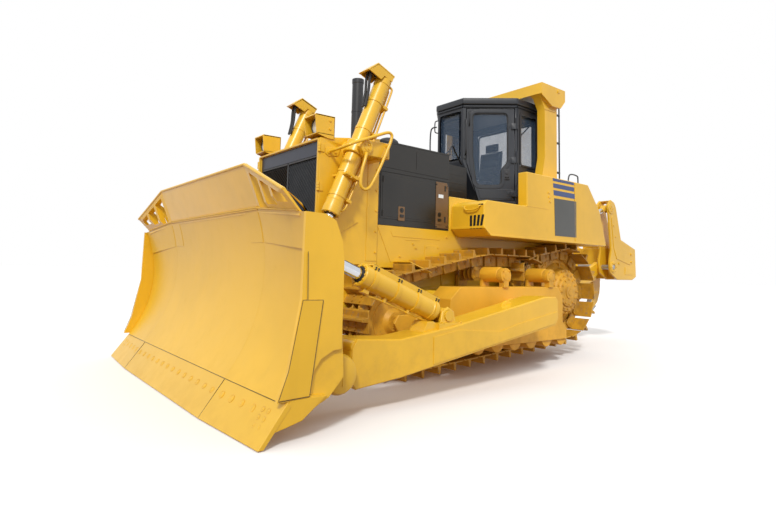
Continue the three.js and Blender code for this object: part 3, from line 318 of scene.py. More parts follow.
class Link:
    """A shader socket that can be used in sums."""

    def __init__(self, recipe, socket):
        self.recipe, self.socket = recipe, socket

    def _sum(self, kind, first, second):
        return self.recipe.node("ShaderNodeMath", {"operation": kind}, {0: first, 1: second})

    def __add__(self, other):
        return self._sum("ADD", self, other)

    def __sub__(self, other):
        return self._sum("SUBTRACT", self, other)

    def __rsub__(self, other):
        return self._sum("SUBTRACT", other, self)

    def __mul__(self, other):
        return self._sum("MULTIPLY", self, other)

    __radd__, __rmul__ = __add__, __mul__

    def clamped(self):
        return self.recipe.node("ShaderNodeClamp", {}, {"Value": self})


class Recipe:
    """The nodes of one finish."""

    def __init__(self, name):
        self.material = bpy.data.materials.new(name)
        self.material.use_nodes = True
        self.tree = self.material.node_tree
        self.shader = self.tree.nodes["Principled BSDF"]
        self.place = self.node("ShaderNodeTexCoord", {}, {}, "Object")

    def node(self, kind, settings, inputs, output=0):
        made = self.tree.nodes.new(kind)
        for key, value in settings.items():
            if key == "stops":
                ramp = made.color_ramp.elements
                while len(ramp) < len(value):
                    ramp.new(0.5)
                for element, (where, colour) in zip(ramp, value):
                    element.position, element.color = where, colour
            else:
                setattr(made, key, value)
        for key, value in inputs.items():
            if isinstance(value, Link):
                self.tree.links.new(value.socket, made.inputs[key])
            else:
                made.inputs[key].default_value = value
        return Link(self, made.outputs[output])

    def noise(self, scale, detail=3.0, roughness=0.55, stretch=None):
        where = self.place
        if stretch:
            where = self.node("ShaderNodeMapping", {}, {"Vector": self.place, "Scale": stretch})
        return self.node("ShaderNodeTexNoise", {}, {"Vector": where, "Scale": scale, "Detail": detail,
            "Roughness": roughness}, "Fac")

    def band(self, value, low, high):
        """0 below low, 1 above high, smooth between."""
        return self.node("ShaderNodeMapRange", {"interpolation_type": "SMOOTHSTEP"},
            {"Value": value, "From Min": low, "From Max": high})

    def height(self):
        return self.node("ShaderNodeSeparateXYZ", {}, {"Vector": self.place}, "Z")

    def mix(self, mask, first, second):
        return self.node("ShaderNodeMix", {"data_type": "RGBA"}, {0: mask, 6: first, 7: second}, 2)

    def bump(self, height, strength, distance, before=None):
        inputs = {"Height": height, "Strength": strength, "Distance": distance}
        if before is not None:
            inputs["Normal"] = before
        return self.node("ShaderNodeBump", {}, inputs)

    def give(self, **inputs):
        """Feeds the shader. Underscores stand for spaces in its socket names."""
        for key, value in inputs.items():
            socket = self.shader.inputs[key.replace("_", " ")]
            if isinstance(value, Link):
                self.tree.links.new(value.socket, socket)
            else:
                socket.default_value = value
        return self.material


def linear(red, green, blue):
    """A colour given in 0-255 display values, as the shader wants it."""
    def one(value):
        value /= 255
        return value / 12.92 if value <= 0.04045 else ((value + 0.055) / 1.055) ** 2.4
    return (one(red), one(green), one(blue), 1.0)


def shaded(colour, factor):
    return tuple(min(1.0, c * factor) for c in colour[:3]) + (1.0,)


def sprayed_paint(name, colour, dust, dust_top=0.0, dust_amount=0.5, roughness=0.36, texture=0.05,
        grain=260.0, coat=0.25, mottle=0.1):
    """Enamel with a slight orange peel, faint patchiness, and dust that thickens towards the ground."""
    r = Recipe(name)
    broad = r.noise(0.9, 4.0, 0.6)
    cloud = r.noise(7.0, 5.0, 0.6)
    base = r.mix(r.band(broad, 0.3, 0.7), shaded(colour, 1 - mottle), shaded(colour, 1 + mottle * 0.7))
    speck = r.band(r.noise(95.0, 3.0, 0.7), 0.66, 0.78) * 0.16
    base = r.mix(speck, base, dust)
    low = 1 - r.band(r.height(), dust_top * 0.15, dust_top + 0.02)
    settled = (r.band(cloud, 0.36, 0.68) * dust_amount * low + r.band(cloud, 0.55, 0.85) * 0.1).clamped()
    base = r.mix(settled, base, dust)
    streak = r.band(r.noise(6.0, 4.0, 0.6, stretch=(1.0, 1.0, 0.12)), 0.56, 0.75) * 0.09
    base = r.mix(streak, base, shaded(colour, 0.62))
    peel = r.bump(r.noise(grain, 2.0, 0.5), texture, 0.002)
    dents = r.bump(r.noise(2.2, 2.0, 0.5), 0.12, 0.02, peel)
    rough = settled * 0.35 + cloud * 0.1 + (roughness - 0.05)
    return r.give(Base_Color=base, Roughness=rough, Normal=dents, Coat_Weight=coat, Coat_Roughness=0.22)


def worn_casting(name, colour, bare, dirt, wear=0.35, roughness=0.5):
    """Sprayed-over cast iron: pitted, rubbed to metal in patches, dirt in the low places."""
    r = Recipe(name)
    patch = r.noise(5.5, 6.0, 0.65)
    pits = r.noise(38.0, 5.0, 0.7)
    fine = r.noise(140.0, 3.0, 0.6)
    base = r.mix(r.band(patch, 0.35, 0.7) * 0.55, colour, dirt)
    worn = (r.band(r.noise(13.0, 6.0, 0.7), 0.72 - wear * 0.35, 0.8 - wear * 0.25)).clamped()
    base = r.mix(worn * 0.75, base, bare)
    base = r.mix(r.band(pits, 0.58, 0.72) * 0.35, base, shaded(dirt, 0.6))
    normal = r.bump(pits, 0.3, 0.004, r.bump(fine, 0.18, 0.0015))
    return r.give(Base_Color=base, Roughness=pits * 0.25 + (roughness - 0.1), Normal=normal,
        Metallic=worn * 0.55)


def satin_enamel(name, colour, roughness=0.42, dust=(0.35, 0.3, 0.22, 1), dusty=0.12, texture=0.06,
        grain=300.0, coat=0.1):
    """Flat sheet-metal enamel in a dark colour, with rubbed and dusty patches."""
    r = Recipe(name)
    cloud = r.noise(5.0, 5.0, 0.65)
    base = r.mix(r.band(r.noise(1.4, 3.0), 0.3, 0.7), shaded(colour, 0.85), shaded(colour, 1.2))
    haze = r.band(cloud, 0.5, 0.85) * dusty
    base = r.mix(haze, base, dust)
    scratch = r.band(r.noise(60.0, 2.0, 0.5, stretch=(0.15, 1.0, 1.0)), 0.72, 0.8) * 0.12
    base = r.mix(scratch, base, shaded(colour, 2.2))
    normal = r.bump(r.noise(grain, 2.0), texture, 0.0015, r.bump(r.noise(2.6, 2.0), 0.1, 0.02))
    return r.give(Base_Color=base, Roughness=cloud * 0.18 + (roughness - 0.09), Normal=normal,
        Coat_Weight=coat, Coat_Roughness=0.3)


def hard_chrome(name, colour=(0.62, 0.65, 0.7, 1)):
    r = Recipe(name)
    rings = r.noise(240.0, 2.0, 0.5)
    film = r.band(r.noise(9.0, 4.0, 0.6), 0.45, 0.75)
    base = r.mix(film * 0.3, colour, shaded(colour, 0.7))
    return r.give(Base_Color=base, Metallic=1.0, Roughness=film * 0.12 + 0.08,
        Normal=r.bump(rings, 0.02, 0.0005))


def bare_steel(name, colour=(0.4, 0.39, 0.37, 1), roughness=0.42):
    r = Recipe(name)
    brush = r.noise(70.0, 3.0, 0.6, stretch=(1.0, 0.2, 1.0))
    stain = r.band(r.noise(8.0, 5.0, 0.65), 0.5, 0.75)
    base = r.mix(stain * 0.5, colour, (0.22, 0.13, 0.07, 1))
    return r.give(Base_Color=base, Metallic=0.9, Roughness=brush * 0.2 + (roughness - 0.1),
        Normal=r.bump(brush, 0.1, 0.001))


def tinted_glass(name, colour, clear=0.74):
    """Thin safety glass: part see-through, part reflective, with faint dust near its edges."""
    r = Recipe(name)
    film = r.band(r.noise(3.0, 5.0, 0.65), 0.45, 0.85)
    r.material.surface_render_method = "BLENDED"
    return r.give(Base_Color=r.mix(film * 0.25, colour, shaded(colour, 1.6)), Roughness=film * 0.06 + 0.03,
        Alpha=film * 0.08 + (1 - clear), Coat_Weight=0.6, Coat_Roughness=0.03,
        Normal=r.bump(r.noise(1.8, 2.0), 0.03, 0.01))


def moulded(name, colour, roughness=0.5, grain=220.0, texture=0.12):
    """Rubber or moulded plastic with a fine leathery skin."""
    r = Recipe(name)
    skin = r.node("ShaderNodeTexVoronoi", {"feature": "SMOOTH_F1"}, {"Vector": r.place, "Scale": grain})
    cloud = r.noise(6.0, 4.0, 0.6)
    base = r.mix(r.band(cloud, 0.35, 0.75) * 0.5, colour, shaded(colour, 1.7))
    return r.give(Base_Color=base, Roughness=cloud * 0.15 + (roughness - 0.07),
        Normal=r.bump(skin, texture, 0.001))


def woven_cloth(name, colour):
    r = Recipe(name)
    warp = r.node("ShaderNodeTexWave", {"bands_direction": "X"},
        {"Vector": r.place, "Scale": 190.0, "Distortion": 0.6})
    weft = r.node("ShaderNodeTexWave", {"bands_direction": "Y"},
        {"Vector": r.place, "Scale": 190.0, "Distortion": 0.6})
    weave = warp * weft
    base = r.mix(weave, shaded(colour, 0.6), shaded(colour, 1.5))
    return r.give(Base_Color=base, Roughness=0.9, Normal=r.bump(weave, 0.4, 0.0012), Sheen_Weight=0.25)


def lamp_glass(name, colour, glow):
    """A fluted lens."""
    r = Recipe(name)
    flutes = r.node("ShaderNodeTexWave", {"bands_direction": "Y"}, {"Vector": r.place, "Scale": 26.0})
    return r.give(Base_Color=r.mix(flutes * 0.4, colour, shaded(colour, 1.4)), Roughness=flutes * 0.1 + 0.08,
        Emission_Color=shaded(colour, 1.0), Emission_Strength=glow, Coat_Weight=0.8,
        Normal=r.bump(flutes, 0.5, 0.004))


FINISH = {}


def mix_finishes(paint):
    """Makes every finish from the colours in the paint settings."""
    yellow, dust = (*paint.yellow, 1.0), (*paint.dust, 1.0)
    under = (*paint.undercarriage, 1.0)
    charcoal, slate = (*paint.charcoal, 1.0), (*paint.slate, 1.0)
    # The blade's enamel is the hull's yellow made 9% darker. This is painted shade, so that the blade, which
    # faces the key light, renders no brighter than the arms.
    FINISH.update(yellow=sprayed_paint("yellow enamel", yellow, dust, dust_top=0.9, dust_amount=0.22),
        blade=sprayed_paint("blade enamel", shaded(yellow, 0.91), shaded(dust, 1.15), dust_top=0.5,
        dust_amount=0.15, roughness=0.48, texture=0.07, mottle=0.06),
        under=sprayed_paint("undercarriage enamel", under, dust, dust_top=1.0, dust_amount=0.3, roughness=0.5,
        texture=0.2, grain=90.0, coat=0.05, mottle=0.16), casting=worn_casting("sprayed casting", under,
        # The track shoes' casting is the undercarriage paint made 24% darker. This is painted shade for the
        # shade that falls in and under the chain.
        (0.3, 0.24, 0.17, 1), shaded(dust, 0.75), wear=0.2), shoe=worn_casting("track shoe steel",
        shaded(under, 0.76), (0.34, 0.27, 0.18, 1), shaded(dust, 0.6), wear=0.5),
        edge=sprayed_paint("sprayed edge steel", shaded(yellow, 0.88), shaded(dust, 1.15), dust_top=0.25,
        dust_amount=0.12, roughness=0.44, texture=0.1, mottle=0.05),
        charcoal=satin_enamel("charcoal enamel", charcoal, 0.34, dusty=0.02, coat=0.1),
        slate=satin_enamel("slate enamel", slate, 0.38, dusty=0.02, coat=0.1),
        black=satin_enamel("black enamel", (0.012, 0.013, 0.017, 1), 0.42, dusty=0.05),
        navy=satin_enamel("navy enamel", linear(28, 34, 52), 0.4, dusty=0.05),
        stripe=satin_enamel("blue stripe", linear(24, 56, 120), 0.3, dusty=0.04, coat=0.4),
        panel=satin_enamel("dark side panel", linear(58, 60, 58), 0.36, dusty=0.06, coat=0.3),
        tan=satin_enamel("tan bracket", linear(112, 84, 52), 0.45, dusty=0.1),
        chrome=hard_chrome("hard chrome"), steel=bare_steel("bare steel"),
        glass=tinted_glass("tinted glass", linear(78, 100, 128)),
        rubber=moulded("black rubber", (0.014, 0.014, 0.015, 1), 0.62),
        plastic=moulded("grey plastic", linear(48, 50, 54), 0.5),
        cloth=woven_cloth("seat cloth", linear(44, 46, 52)), lens=lamp_glass("lamp lens",
        (0.62, 0.64, 0.62, 1), 0.0), reflector=hard_chrome("lamp reflector", (0.85, 0.85, 0.83, 1)),)


# ---------------------------------------------------------------- settings


class BulldozerPaint(bpy.types.PropertyGroup):
    """Colours of the machine."""

    yellow: FloatVectorProperty(name="Yellow", description="Enamel of the hull, blade and arms",
        subtype="COLOR", size=3, default=linear(226, 180, 38)[:3])
    undercarriage: FloatVectorProperty(name="Undercarriage",
        description="Enamel sprayed over the tracks and frames", subtype="COLOR", size=3,
        default=linear(220, 166, 42)[:3])
    dust: FloatVectorProperty(name="Dust", description="Dry soil that settles low on the machine",
        subtype="COLOR", size=3, default=linear(160, 116, 56)[:3])
    charcoal: FloatVectorProperty(name="Charcoal", description="Engine covers and hood", subtype="COLOR",
        size=3, default=linear(24, 22, 19)[:3])
    slate: FloatVectorProperty(name="Slate", description="Cab, doors and roof", subtype="COLOR", size=3,
        default=linear(26, 31, 40)[:3])


class BulldozerTrack(bpy.types.PropertyGroup):
    """Sizes of the tracks."""

    pitch: FloatProperty(name="Link pitch", description="Distance between two track pins", unit="LENGTH",
        default=0.26)
    shoe_width: FloatProperty(name="Shoe width", description="Width of a track shoe", unit="LENGTH",
        default=0.606)
    shoe_plate: FloatProperty(name="Shoe plate", description="Thickness of a shoe's plate", unit="LENGTH",
        default=0.018)
    grouser: FloatProperty(name="Grouser", description="Height of the bar across a shoe", unit="LENGTH",
        default=0.084)
    teeth: IntProperty(name="Teeth", description="Teeth of the sprocket's rim", default=26, min=11)
    rollers: IntProperty(name="Rollers", description="Rollers under each track frame", default=7, min=3)


class BulldozerTrim(bpy.types.PropertyGroup):
    """Sizes of the bolts, louvres and rails."""

    bolt: FloatProperty(name="Bolt", description="Radius of a usual bolt head", unit="LENGTH", default=0.015)
    louvres: IntProperty(name="Louvres", description="Slats on each half of the grille", default=30, min=4)
    rail: FloatProperty(name="Handrail", description="Radius of a handrail", unit="LENGTH", default=0.017)
    hose: FloatProperty(name="Hose", description="Radius of a hydraulic hose", unit="LENGTH", default=0.016)


class BulldozerStage(bpy.types.PropertyGroup):
    """Light and backdrop."""

    key: FloatProperty(name="Key light", description="Strength of the sun lamp", default=2.2, min=0)
    fill: FloatProperty(name="Sky light", description="Strength of the even light from above", default=1.0,
        min=0)
    ground: FloatProperty(name="Ground light", description="Strength of the brown light from below",
        default=0.36, min=0)


# ---------------------------------------------------------------- tracks

RAIL_DEPTH = 0.075
SHOE_SEAT = 0.072
PITCH_RADIUS = 0.565
IDLER_TREAD = 0.38
CARRIERS = (0.95, 1.9)
CARRIER_RADIUS = 0.095
CARRIER_Z = 1.28 - CARRIER_RADIUS
FRAME_HALF = 0.17
ROLLER_ROW = (0.65, 2.68)
ROLLER_Z = 0.363
ARM_PIVOT = (1.79, 0.775)


def belt_line():
    """The pin line in stretches (kind, shape, angle, length), round a wheel or straight, and its length."""
    wheels = [(0.0, AXLE_Z, PITCH_RADIUS)]
    wheels += [(x, CARRIER_Z, CARRIER_RADIUS + RAIL_DEPTH) for x in CARRIERS]
    wheels += [(WHEELBASE, IDLER_Z, IDLER_TREAD + RAIL_DEPTH)]
    count = len(wheels)
    normals = []
    for i, (x, z, r) in enumerate(wheels):
        nx, nz, nr = wheels[(i + 1) % count]
        span = math.hypot(nx - x, nz - z)
        normals.append(math.atan2(nz - z, nx - x) + math.acos((r - nr) / span))
    stretches = []
    for i, (x, z, r) in enumerate(wheels):
        start = normals[i - 1]
        sweep = (start - normals[i]) % (2 * math.pi)
        stretches.append(("arc", (x, z, r), start, sweep * r))
        nx, nz, nr = wheels[(i + 1) % count]
        out = (math.cos(normals[i]), math.sin(normals[i]))
        a = (x + r * out[0], z + r * out[1])
        b = (nx + nr * out[0], nz + nr * out[1])
        stretches.append(("line", (a, b), normals[i], math.dist(a, b)))
    return stretches, sum(stretch[3] for stretch in stretches)


def on_belt(stretches, total, s):
    """The place (x, z) on the pin line at a length along it."""
    s %= total
    for kind, shape, angle, length in stretches:
        if s <= length:
            if kind == "arc":
                x, z, r = shape
                return x + r * math.cos(angle - s / r), z + r * math.sin(angle - s / r)
            (ax, az), (bx, bz) = shape
            share = s / length
            return ax + share * (bx - ax), az + share * (bz - az)
        s -= length
    return on_belt(stretches, total, 0)


def link_matrices(pitch):
    """Where each link stands: x along the belt, y across it, z outwards."""
    stretches, total = belt_line()
    count = round(total / pitch)
    pins = [on_belt(stretches, total, i * total / count) for i in range(count)]
    for i, (x, z) in enumerate(pins):
        nx, nz = pins[(i + 1) % count]
        along = Vector((nx - x, 0, nz - z))
        outward = Vector((-along.z, 0, along.x)).normalized()
        across = outward.cross(along.normalized())
        matrix = Matrix((along.normalized(), across, outward)).transposed().to_4x4()
        matrix.translation = at(x, TRACK_Y, z)
        yield matrix, along.length


def link_side(shape, flank, length):
    """One forged side of a link: a broad head over its own pin, a narrow tail inside the next."""
    inner, outer = 0.046, 0.098
    head = [(-0.06, -0.044), (-0.036, -0.069), (0.085, -0.073), (0.15, -0.073), (0.15, 0.07), (-0.02, 0.07),
        (-0.06, 0.03)]
    tail = [(0.11, -0.073), (length - 0.02, -0.071), (length + 0.034, -0.044), (length + 0.044, 0.0),
        (length + 0.03, 0.036), (length - 0.045, 0.07), (0.11, 0.07)]
    step = (outer - inner) / 2
    for outline, (y0, y1) in ((head, (inner + step - 0.003, outer)), (tail, (inner, inner + step))):
        y0, y1 = sorted((flank * y0, flank * y1))
        shape.prism([Vector((x, y0, z)) for x, z in outline], Vector((0, y1 - y0, 0)), 0.006, 1)
    shape.rod((0, flank * outer, 0), (0, flank * (outer + 0.007), 0), 0.04, 14, 0.002)
    shape.rod((0, flank * (outer - 0.01), 0), (0, flank * (outer + 0.013), 0), 0.021, 10, 0.002)


def shoe_and_links(track, length):
    """One shoe with its grouser and bolts, on its pair of links, round the link's own axes."""
    shape = Shape()
    half = track.shoe_width / 2
    top = SHOE_SEAT + track.shoe_plate
    plate = [(-0.052, SHOE_SEAT - 0.01), (-0.03, SHOE_SEAT), (length - 0.075, SHOE_SEAT),
        (length - 0.062, SHOE_SEAT + 0.006), (length - 0.062, top), (0.074, top),
        (0.066, top + track.grouser - 0.006), (0.06, top + track.grouser), (0.04, top + track.grouser),
        (0.034, top + track.grouser - 0.006), (0.026, top), (-0.034, top), (-0.052, top - 0.012)]
    shape.prism([Vector((x, -half, z)) for x, z in plate], Vector((0, 2 * half, 0)), 0.003, 1)
    for x in (0.1, 0.158):
        for flank in (-1, 1):
            shape.rod((x, flank * 0.07, top - 0.004), (x, flank * 0.07, top + 0.012), 0.017, 6, 0.002)
    for flank in (-1, 1):
        link_side(shape, flank, length)
    shape.rod((0, -0.05, 0), (0, 0.05, 0), 0.033, 14)
    return shape


def build_tracks(context):
    track = context.scene.bulldozer_track
    left = Shape()
    sample = None
    for matrix, length in link_matrices(track.pitch):
        if sample is None:
            sample = bpy.data.meshes.new("link")
            shape = shoe_and_links(track, length)
            shape.bm.to_mesh(sample)
            shape.bm.free()
        copy = bmesh.new()
        copy.from_mesh(sample)
        left.take(copy, matrix=matrix)
    bpy.data.meshes.remove(sample)
    for side, shape in (("right", left.mirrored()), ("left", left)):
        piece(f"track_chain_{side}", shape, "shoe", "chassis", "undercarriage_paint", [f"track_{side}"])


def sprocket_rim(shape, teeth):
    """The toothed rim, in bolted segments on its carrier."""
    outline = []
    step = 2 * math.pi / teeth
    for i in range(teeth):
        for share, radius in ((-0.36, -0.034), (-0.22, -0.018), (-0.12, 0.024), (0, 0.028), (0.12, 0.024),
                (0.22, -0.018), (0.36, -0.034)):
            angle = (i + share) * step
            r = PITCH_RADIUS + radius
            outline.append((r * math.cos(angle), AXLE_Z + r * math.sin(angle)))
    shape.plate(outline, TRACK_Y - 0.036, TRACK_Y + 0.036, 0.004, 1)


def build_sprockets(context):
    teeth = context.scene.bulldozer_track.teeth

    def left(shape):
        centre = at(0, TRACK_Y, AXLE_Z)
        out = OUTWARD
        sprocket_rim(shape, teeth)
        for flank in (1, -1):
            shape.bolt_ring(centre + out * 0.036 * flank, out * flank, 0.478, 26, 0.017)
        # the segments' carrier, dished out to the final drive's case
        shape.turned([(0.036, 0.51), (0.044, 0.505), (0.044, 0.43), (0.075, 0.405), (0.1, 0.36),
            (0.115, 0.345), (0.19, 0.335), (0.2, 0.325), (0.205, 0.3), (0.232, 0.285), (0.238, 0.225),
            (0.258, 0.215), (0.262, 0.15), (0.268, 0.14), (0.27, 0.0)], centre, centre + out, 48)
        shape.bolt_ring(centre + out * 0.2, out, 0.312, 20, 0.015)
        shape.bolt_ring(centre + out * 0.236, out, 0.254, 16, 0.014)
        shape.bolt_ring(centre + out * 0.262, out, 0.185, 12, 0.012)
        shape.turned([(0.262, 0.105), (0.282, 0.1), (0.286, 0.06), (0.292, 0.055), (0.294, 0.0)], centre,
            centre + out, 32)
        shape.bolt(centre + out * 0.286 + Vector((0.03, 0, 0.03)), out, 0.012)
        for angle in range(0, 360, 45):
            spoke = placed(centre, out) @ Matrix.Rotation(math.radians(angle), 4, "Z")
            shape.block((0.345, -0.012, 0.045), (0.43, 0.012, 0.105), 0.006, spoke)
        shape.turned([(-0.036, 0.505), (-0.05, 0.49), (-0.06, 0.36), (-0.2, 0.3), (-0.32, 0.29),
            (-0.4, 0.275), (-(TRACK_Y - 0.522), 0.275), (-(TRACK_Y - 0.522), 0.0)], centre, centre + out, 40)
        shape.turned([(-0.036, 0.0), (-0.036, 0.505), (0.036, 0.51), (0.036, 0.0)], centre, centre + out, 40)

    paired("sprocket_wheel", left, "casting", "chassis", "undercarriage_paint", ["sprocket_{}"])


def build_idlers(context):
    def left(shape):
        centre = at(WHEELBASE, TRACK_Y, IDLER_Z)
        out = OUTWARD
        tread, centre_rise, hub = IDLER_TREAD - 0.004, 0.02, 0.126
        shape.turned([(-hub, 0.0), (-hub, 0.11), (-0.105, 0.125), (-0.075, 0.15), (-0.06, 0.27),
            (-0.095, 0.31), (-0.098, tread - 0.006), (-0.092, tread), (-0.046, tread),
            (-0.038, tread + centre_rise), (0.038, tread + centre_rise), (0.046, tread), (0.092, tread),
            (0.098, tread - 0.006), (0.095, 0.31), (0.06, 0.27), (0.075, 0.15), (0.105, 0.125), (hub, 0.11),
            (hub, 0.0)], centre, centre + out, 56)
        shape.bolt_ring(centre + out * 0.118, out, 0.085, 8, 0.012)

    paired("idler_wheel", left, "casting", "chassis", "undercarriage_paint", ["idler_{}"])


def roller_places(count):
    first, last = ROLLER_ROW
    return [first + i * (last - first) / (count - 1) for i in range(count)]


def build_track_frames(context):
    """The roller frames: caps on the rollers and carriers, covers, guards and their bolts."""
    count = context.scene.bulldozer_track.rollers

    def left(shape):
        out = OUTWARD
        face = TRACK_Y + FRAME_HALF
        for x in roller_places(count):
            centre = at(x, face, ROLLER_Z + 0.012)
            shape.turned([(-0.03, 0.1), (-0.004, 0.1), (0.004, 0.092), (0.01, 0.06), (0.018, 0.05),
                (0.02, 0.0)], centre, centre + out, 24)
            shape.block(centre + Vector((-0.075, -0.02, 0.05)), centre + Vector((0.075, 0.016, 0.115)), 0.008)
            for dx in (-0.052, 0.052):
                shape.bolt(centre + Vector((dx, 0.014, 0.085)), out, 0.014)
            shape.bolt(centre + out * 0.019, out, 0.01, False)
            inner = at(x, TRACK_Y, ROLLER_Z)
            for flank in (-1, 1):
                for y, r in ((0.052, 0.112), (0.112, 0.122)):
                    a, b = inner + out * flank * (y - 0.006), inner + out * flank * (y + 0.006)
                    shape.rod(a, b, r, 24, 0.003)
        for x in CARRIERS:
            base = at(x, 0, CARRIER_Z)
            end = base + out * (TRACK_Y + 0.106)
            shape.turned([(-0.02, 0.09), (0.0, 0.09), (0.006, 0.082), (0.01, 0.055), (0.016, 0.05),
                (0.018, 0.0)], end, end + out, 28)
            shape.bolt_ring(end + out * 0.008, out, 0.066, 4, 0.011, EIGHTH_TURN)
            # bracket beside the belt: a post on the frame with a clamp round the roller's end
            shape.block(base + Vector((-0.048, 1.245, -0.16)), base + Vector((0.048, 1.325, -0.02)), 0.008)
            clamp = base + Vector((0, 0, -0.015))
            shape.rod(clamp + out * 1.242, clamp + out * 1.322, 0.096, 32, 0.006)
            shape.turned([(0.0, 0.062), (0.008, 0.058), (0.012, 0.03), (0.012, 0.0)], clamp + out * 1.321,
                clamp + out * 2.321, 24)
            shape.bolt_ring(clamp + out * 1.322, out, 0.079, 4, 0.01, EIGHTH_TURN)
            back = base + out * (TRACK_Y - FRAME_HALF)
            shape.block(back + Vector((-0.085, -0.012, -0.22)), back + Vector((0.085, 0.045, -0.02)), 0.01)
            for y in (TRACK_Y - 0.108, TRACK_Y - 0.036, TRACK_Y + 0.036, TRACK_Y + 0.103):
                shape.rod(base + out * (y - 0.005), base + out * (y + 0.005), CARRIER_RADIUS - 0.002, 28,
                    0.002)
        # the spring housing's long cover, and the pads and ribs on the frame's open side
        shape.plate([(1.96, 0.6), (1.94, 0.64), (1.94, 0.9), (1.98, 0.95), (2.62, 0.95), (2.7, 0.88),
            (2.7, 0.66), (2.64, 0.6)], face - 0.01, face + 0.018, 0.008)
        for x in (2.02, 2.32, 2.62):
            for z in (0.64, 0.91):
                shape.bolt(at(x, face + 0.018, z), out, 0.015)
        shape.turned([(0.0, 0.13), (0.03, 0.125), (0.05, 0.1), (0.055, 0.0)], at(0.86, face - 0.01, 0.72),
            at(0.86, face, 0.72), 32)
        shape.bolt_ring(at(0.86, face + 0.018, 0.72), out, 0.108, 10, 0.011)
        for x in (1.06, 1.4):
            shape.block(at(x, face - 0.01, 0.57), at(x + 0.03, face + 0.06, 1.0), 0.006)
        shape.block(at(0.62, face - 0.02, 0.54), at(2.84, face + 0.02, 0.575), 0.006)
        # idler yoke: sliding plates, shims and their bolts
        for z in (IDLER_Z - 0.078, IDLER_Z + 0.052):
            shape.block(at(2.85, face - 0.01, z), at(3.34, face + 0.016, z + 0.026), 0.005)
        shape.turned([(0.0, 0.075), (0.022, 0.072), (0.026, 0.0)], at(WHEELBASE, face - 0.004, IDLER_Z),
            at(WHEELBASE, face, IDLER_Z), 28)
        shape.bolt_ring(at(WHEELBASE, face + 0.018, IDLER_Z), out, 0.05, 6, 0.011)
        for x in (2.91, 3.03, 3.15):
            shape.bolt(at(x, face, IDLER_Z), out, 0.014)
        # collar round the pivot that the blade's arm hangs on
        pivot = at(ARM_PIVOT[0], face, ARM_PIVOT[1])
        shape.turned([(0.0, 0.165), (0.03, 0.16), (0.05, 0.135), (0.075, 0.124), (0.2, 0.118)],
            pivot + out * -0.005, pivot, 36)
        shape.bolt_ring(pivot + out * 0.028, out, 0.146, 8, 0.013)

    paired("track_frame_fittings", left, "casting", "chassis", "undercarriage_paint")
    for side in SIDES:
        softened(f"track_frame_{side}", "under", 0.008)


# ---------------------------------------------------------------- hydraulic cylinders

JOINTS = {joint["name"]: joint for joint in frame["joints"]}

# Lengths along a cylinder from its base pin, and radii, in metres.
RAMS = {"lift": {"tube": 0.1, "rod": 0.045, "tail": -0.943, "gland": 0.79, "reach": 1.897, "eye": 0.08,
    "eye_half": 0.055, "rod_start": 0.2, "bolts": 10}, "tilt": {"tube": 0.108, "rod": 0.055, "tail": 0.125,
    "gland": 1.09, "reach": 1.592, "eye": 0.072, "eye_half": 0.055, "rod_start": 0.5, "bolts": 12},
    "ripper_lift": {"tube": 0.075, "rod": 0.04, "tail": 0.09, "gland": 0.8, "reach": 0.998, "eye": 0.065,
    "eye_half": 0.04, "rod_start": 0.13, "bolts": 8}, "ripper_tilt": {"tube": 0.085, "rod": 0.045,
    "tail": 0.085, "gland": 0.8, "reach": 1.218, "eye": 0.07, "eye_half": 0.055, "rod_start": 0.4,
    "bolts": 8},}


def ram_matrix(kind):
    """x runs from the base pin to the rod's eye, y across, z square to both."""
    base = Vector(JOINTS[f"{kind}_barrel_left"]["pos_m"])
    along = Vector(JOINTS[f"{kind}_rod_left"]["axis"]).normalized()
    across = OUTWARD
    matrix = Matrix((along, across, along.cross(across))).transposed().to_4x4()
    matrix.translation = base
    return matrix


def ram_tube(shape, kind, spot):
    """The tube with its welded head, screwed gland and wiper seal."""
    ram = RAMS[kind]
    tube, rod, tail, gland = ram["tube"], ram["rod"], ram["tail"], ram["gland"]
    start, ahead = spot(0, 0, 0), spot(1, 0, 0)
    body = tube * 0.93
    shape.turned([(tail, 0.0), (tail, tube * 0.82), (tail + 0.012, tube * 0.95), (tail + 0.07, tube * 0.95),
        (tail + 0.075, tube * 0.99), (tail + 0.085, tube * 0.99), (tail + 0.09, body), (gland - 0.16, body),
        (gland - 0.155, tube * 0.99), (gland - 0.145, tube * 0.99), (gland - 0.14, tube * 0.96),
        (gland - 0.085, tube * 0.96), (gland - 0.082, tube), (gland - 0.008, tube), (gland, tube * 0.94),
        (gland, rod + 0.024), (gland - 0.01, rod + 0.02), (gland - 0.01, 0.0)], start, ahead, 40)
    shape.bolt_ring(spot(gland - 0.002, 0, 0), ahead - start, (tube * 0.94 + rod + 0.024) / 2 - 0.002,
        ram["bolts"], 0.01)
    shape.finish = 1
    shape.turned([(gland - 0.012, rod + 0.019), (gland + 0.004, rod + 0.016), (gland + 0.008, rod + 0.003),
        (gland - 0.012, rod + 0.001)], start, ahead, 32, closed=True)
    shape.finish = 0


def ram_base_eye(shape, kind, spot):
    """The eye on the base pin, its neck and the pin."""
    ram = RAMS[kind]
    eye, half = ram["eye"], ram["eye_half"]
    a = spot(0, -half, 0)
    shape.turned([(0, ram["rod"] * 0.9), (0, eye - 0.006), (0.006, eye), (2 * half - 0.006, eye),
        (2 * half, eye - 0.006), (2 * half, ram["rod"] * 0.9)], a, a + OUTWARD, 32, closed=True)
    neck = eye * 0.78
    shape.turned([(0.02, neck * 0.9), (ram["tail"] * 0.6, neck), (ram["tail"] + 0.01, ram["tube"] * 0.86)],
        spot(0, 0, 0), spot(1, 0, 0), 32)
    pin = {"tilt": 0.11, "ripper_lift": 0.072, "ripper_tilt": 0.095}[kind]
    shape.rod(spot(0, -pin, 0), spot(0, pin, 0), ram["rod"] * 0.98, 28, 0.004)


